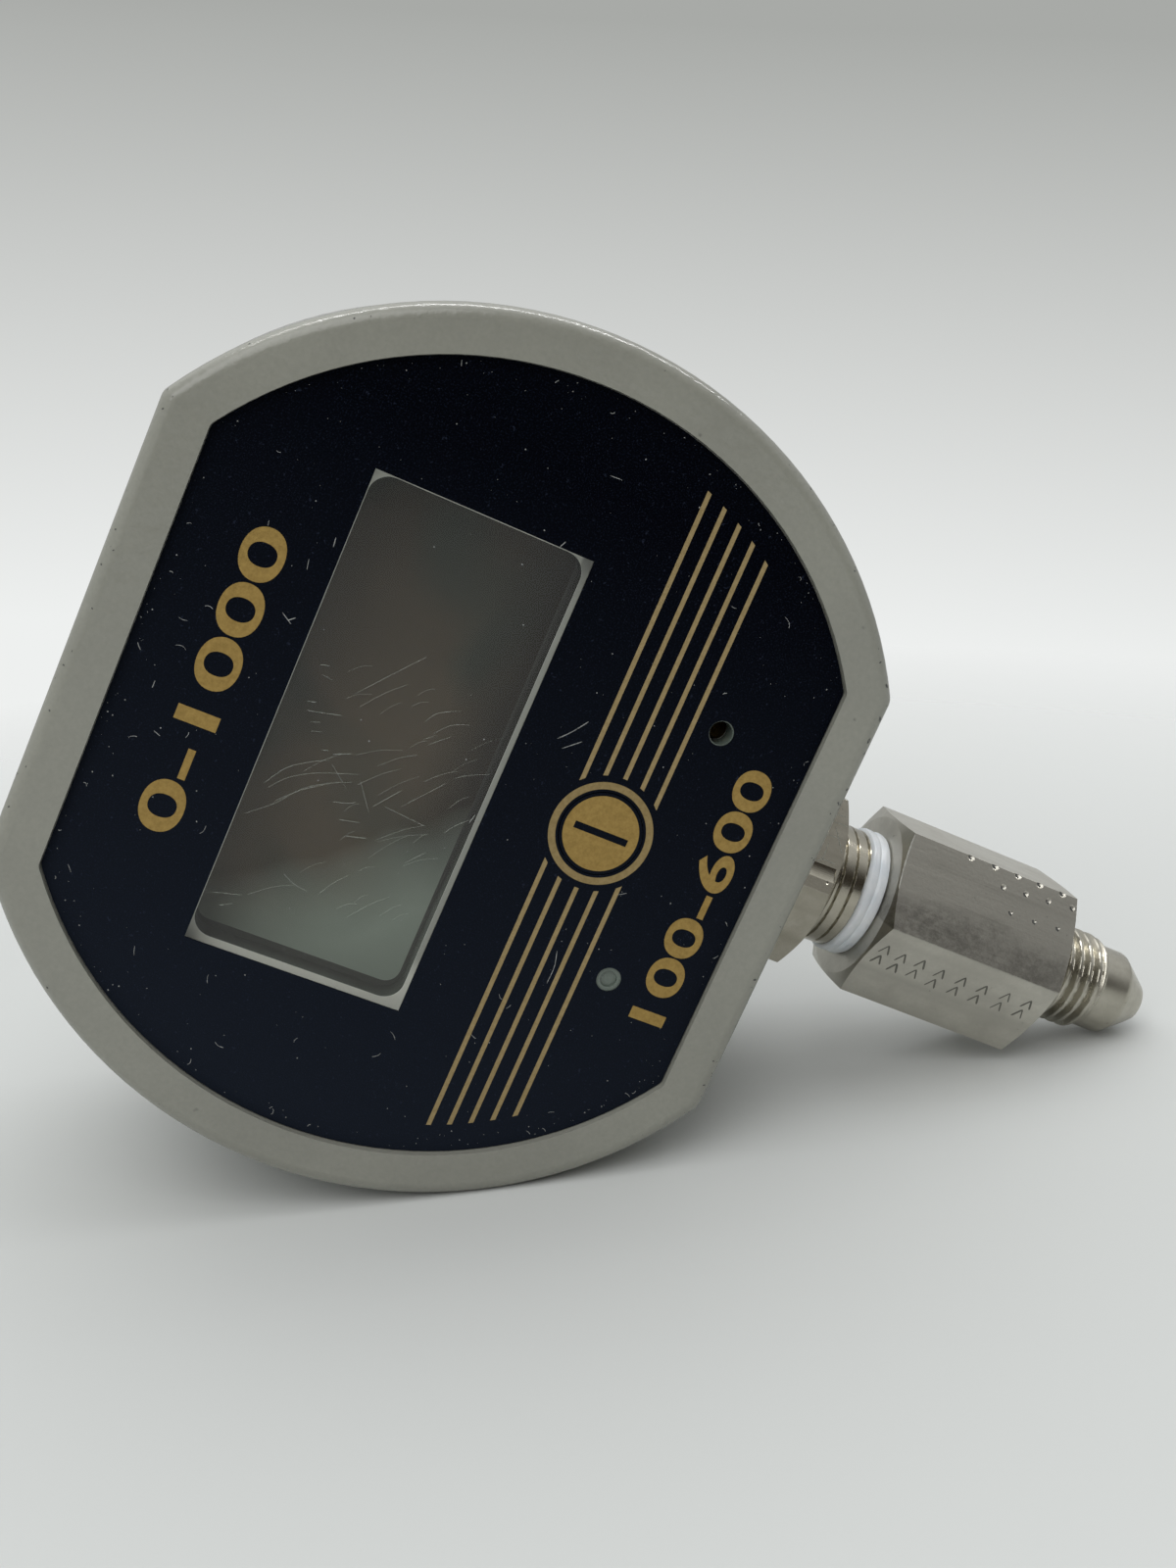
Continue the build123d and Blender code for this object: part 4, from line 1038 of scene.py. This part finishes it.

# Adapter hexagon: dents on its front ridge and facet with painted shade beside them, a painted highlight
# along its front facet's edge, chevrons stamped in two rows
ridge_dents = [(5.45, 14.36), (5.5, 11.3), (5.5, 8.34), (5.5, 5.5), (5.5, 2.53)]
deep_dents = [(3.55, 9.79), (3.8, 6.94), (4.0, 4.05), (4.31, 0.97)]
faint_dents = [(1.13, 8.24), (1.2, 5.21), (1.48, 2.21)]
mark_feet = [(2.3, 20.4), (2.0, 18.2), (2.2, 15.9), (1.9, 13.3), (2.0, 10.6), (2.0, 7.9), (2.2, 5.1),
             (2.3, 2.4)]
MARK_PITCH = 1.7
MARK_RISE = 0.7
MARK_SPREAD = 0.6
adapter_mesh = hexagon_mesh("adapter_hexagon", ADAPTER_TURN, 0.0, ADAPTER_HIGH.z, ADAPTER_FACE_RADIUS,
                            ADAPTER_SLOPE, both_ends=True)
adapter_mesh = dented(adapter_mesh, FRONT_FACET, ridge_dents, 0.55, 0.4)
adapter_mesh = dented(adapter_mesh, FRONT_FACET, deep_dents, 0.44, 0.17)
adapter_mesh = dented(adapter_mesh, FRONT_FACET, faint_dents, 0.5, 0.07)
adapter_hex = add_piece("adapter_hexagon", adapter_mesh, MATERIALS["stainless"])
bevelled(adapter_hex, EDGE_ROUND, 30)

# Painted highlight: a pale stroke where the end cone meets the front facet
painted_highlight_line = [(spread / 10 * MM, chamfer_edge(spread / 10 * MM)) for spread in range(54, -16, -5)]
painted_highlight_mesh = plate_mesh("adapter_edge_highlight", [stroke_loop(painted_highlight_line, 0.13 * MM)], FRONT_FACET, 0.01 * MM)
add_piece("adapter_edge_highlight", painted_highlight_mesh, painted_edge_highlight)
# Painted shade: a dark stroke on one side of each dent
dent_shades = [[(x - 0.3, y - 0.12), (x - 0.22, y + 0.16), (x + 0.05, y + 0.28)]
               for x, y in deep_dents + faint_dents + ridge_dents]
strokes_piece("adapter_dent_shades", dent_shades, 0.24 * MM, FRONT_FACET, dark_chip_and_shade)
mark_strokes = []
for mark_x, mark_y in mark_feet:
    for foot in (mark_x, mark_x - MARK_PITCH):
        for end_y in (mark_y - MARK_SPREAD, mark_y + MARK_SPREAD):
            mark_strokes.append([(foot - MARK_RISE, end_y), (foot + MARK_RISE, mark_y)])
mark_dark = plain("mark_dark", srgb(110, 108, 101), 0.5, 0.6)
strokes_piece("adapter_marks", mark_strokes, 0.2 * MM, LOWER_FACET, mark_dark)

# Adapter's flare thread, cone and bore
nose_top = -FLARE_THREAD_LENGTH
nose_low = nose_top - NOSE_LENGTH
tip_z = ADAPTER_LOW.z
nose_profile = [
    (BORE_RADIUS * 0.96, tip_z + 2.5 * MM),
    (BORE_RADIUS, tip_z + 0.12 * MM),
    (TIP_RADIUS, tip_z + 0.03 * MM),
    (TIP_RADIUS + 0.12 * MM, tip_z),
    (NOSE_RADIUS - 0.3 * MM, nose_low - 0.42 * MM),
    (NOSE_RADIUS - 0.07 * MM, nose_low - 0.08 * MM),
    (NOSE_RADIUS, nose_low + 0.3 * MM),
    (NOSE_RADIUS, nose_top - 0.1 * MM),
]
flare_part = thread_rows(lambda z: FLARE_RADIUS, nose_top, 0.5 * MM, FLARE_PITCH, FLARE_DEPTH,
                         steps_per_pitch=16, fade=0.5, root=0.12, flank_width=0.62)
flare_steel = turned_steel("stainless_turned", srgb(190, 186, 174), srgb(160, 156, 144), 0.29, 0.2,
                           relief=0.15)
flare_mesh = grid_mesh("adapter_flare", lathe_rows(nose_profile, ROUND_SEGMENTS) + flare_part)
adapter_flare = add_piece("adapter_flare", flare_mesh, flare_steel, 50)
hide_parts("flare_adapter")
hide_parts("flare_adapter")

TAPE_RADIUS = 7.14 * MM
TAPE_WAVE = 0.2 * MM
TAPE_RUFFLE = 0.05 * MM
TAPE_STEPS = 48
TAPE_SEGMENTS = 200


def tape_rows():
    """Two soft rolls that wander a little round the thread."""
    rows = []
    height = TAPE_HIGH.z - TAPE_LOW.z
    for step in range(TAPE_STEPS + 1):
        along = step / TAPE_STEPS
        end = max(min(1.0, along / 0.08, (1 - along) / 0.1), 0.0)
        row = []
        for index in range(TAPE_SEGMENTS):
            turn = 2 * math.pi * index / TAPE_SEGMENTS
            drift = 0.05 * math.sin(turn + 0.7) + 0.02 * math.sin(turn * 3)
            roll = abs(math.sin(math.pi * 2 * (along + drift)))
            direction = Vector((math.cos(turn), math.sin(turn), along * 1.5))
            ruffle = noise.noise(direction * 4) * TAPE_RUFFLE
            radius = TAPE_RADIUS - TAPE_WAVE * (1 - roll ** 0.5) + ruffle - (1 - end ** 0.5) * 0.3 * MM
            z = TAPE_LOW.z + height * along + noise.noise(direction * 1.8) * 0.12 * MM * along
            row.append(Vector((radius * math.cos(turn), radius * math.sin(turn), z)))
        rows.append(row)
    return rows


tape_mesh = grid_mesh("thread_tape", tape_rows())
tape = add_piece("thread_tape", tape_mesh, MATERIALS["tape"], 60)
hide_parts("ptfe_tape")

# Floor, backdrop, light and camera

FLOOR_GAP = 0.02 * MM
FLOOR_REACH = 0.9
FADE_START = 0.09
FADE_END = 0.26


def backdrop_tone(tree, direction):
    """Pale studio sweep: lightest behind the object, a little darker towards the photograph's top."""
    rise = vector_of(tree, "DOT_PRODUCT", direction, FLOOR_NORMAL, "Value")
    sideways = vector_of(tree, "DOT_PRODUCT", direction, CAMERA_RIGHT, "Value")
    lean = math_of(tree, "ADD", rise, scaled(tree, sideways, 0.1))
    near = blend(tree, rise, -0.55, -0.3, srgb(230, 232, 231), srgb(238, 240, 239))
    return blend(tree, lean, -0.18, 0.14, near, srgb(168, 170, 167))


def make_floor():
    """Pale floor that keeps the shadow near the object, fades out and can't be seen from below."""
    centre = Vector((0, 0, CENTRE_Z)) - FLOOR_NORMAL * (CASE_RADIUS + FLOOR_GAP)
    depth = Vector((0, 1, 0))
    side = FLOOR_NORMAL.cross(depth).normalized()
    corners = [centre + (side * a + depth * b) * FLOOR_REACH for a, b in CORNER_SIGNS]
    floor_mesh = bpy.data.meshes.new("floor")
    floor_mesh.from_pydata(corners, [], [(0, 1, 2, 3)])
    floor_mesh.update()
    if floor_mesh.polygons[0].normal.dot(FLOOR_NORMAL) < 0:
        floor_mesh.flip_normals()
    floor = new_object("floor", floor_mesh)
    material, tree = new_material("floor")
    geometry = add_node(tree, "ShaderNodeNewGeometry").outputs
    camera_ray = add_node(tree, "ShaderNodeLightPath").outputs["Is Camera Ray"]
    away = vector_of(tree, "DISTANCE", geometry["Position"], centre, "Value")
    fade = math_of(tree, "MULTIPLY", ramp(tree, away, FADE_START, FADE_END), camera_ray)
    hidden = math_of(tree, "MAXIMUM", fade, geometry["Backfacing"])
    paper = principled(tree, Base_Color=srgb(208, 210, 208), Roughness=0.75, Specular_IOR_Level=0.25)
    floor_mesh.materials.append(finished(material, mix_shader(tree, hidden, paper, see_through(tree))))


def make_world():
    """Soft sky that lights the object, with a dim room in front of it; the camera sees the backdrop."""
    world = bpy.data.worlds.new("studio")
    bpy.context.scene.world = world
    world.use_nodes = True
    tree = world.node_tree
    tree.nodes.clear()
    camera_ray = add_node(tree, "ShaderNodeLightPath").outputs["Is Camera Ray"]
    direction = add_node(tree, "ShaderNodeTexCoord").outputs["Generated"]
    rise = vector_of(tree, "DOT_PRODUCT", direction, FLOOR_NORMAL, "Value")
    ahead = vector_of(tree, "DOT_PRODUCT", direction, ROOM_DIRECTION, "Value")
    sky = blend(tree, rise, -0.25, 0.9, srgb(172, 174, 173), srgb(248, 250, 251))
    sky = blend(tree, ahead, 0.55, 0.88, sky, srgb(62, 56, 48))
    light = add_node(tree, "ShaderNodeBackground", {"Color": sky, "Strength": 0.85}).outputs[0]
    view = add_node(tree, "ShaderNodeBackground", {"Color": backdrop_tone(tree, direction)}).outputs[0]
    add_node(tree, "ShaderNodeOutputWorld", {"Surface": mix_shader(tree, camera_ray, light, view)})


def area_light(name, from_face, size, power, glints_only=False):
    """Rectangular lamp aimed at the face; one that only makes glints doesn't light what is matt."""
    data = bpy.data.lights.new(name, "AREA")
    data.shape = "RECTANGLE"
    data.size, data.size_y = size
    data.energy = power
    lamp = new_object(name, data)
    lamp.location = FACE_CENTRE + Vector(from_face)
    lamp.rotation_mode = "QUATERNION"
    lamp.rotation_quaternion = (FACE_CENTRE - lamp.location).to_track_quat("-Z", "Y")
    lamp.visible_diffuse = not glints_only


def make_camera():
    data = bpy.data.cameras.new("camera")
    data.sensor_width = SENSOR
    data.lens = PHOTO_FOCAL / PHOTO_LONG_SIDE * SENSOR
    data.clip_start = 0.005
    data.clip_end = 10
    camera = new_object("camera", data)
    back = CAMERA_RIGHT.cross(CAMERA_UP).normalized()
    up = back.cross(CAMERA_RIGHT).normalized()
    right = up.cross(back)
    turn = Matrix((right, up, back)).transposed()
    camera.matrix_world = Matrix.Translation(FACE_CENTRE + CAMERA_FROM_FACE) @ turn.to_4x4()
    bpy.context.scene.camera = camera


make_floor()
make_world()
area_light("top_softbox", (0.4, 0.1, 0.2), (0.6, 0.6), 0.85)
area_light("glint_strip", (0.55, 0.1, 0.12), (0.03, 0.8), 2.6, glints_only=True)
area_light("front_softbox", (0.35, -0.45, 0.35), (0.5, 0.5), 1.7)
make_camera()
bpy.context.scene.view_settings.view_transform = "Standard"
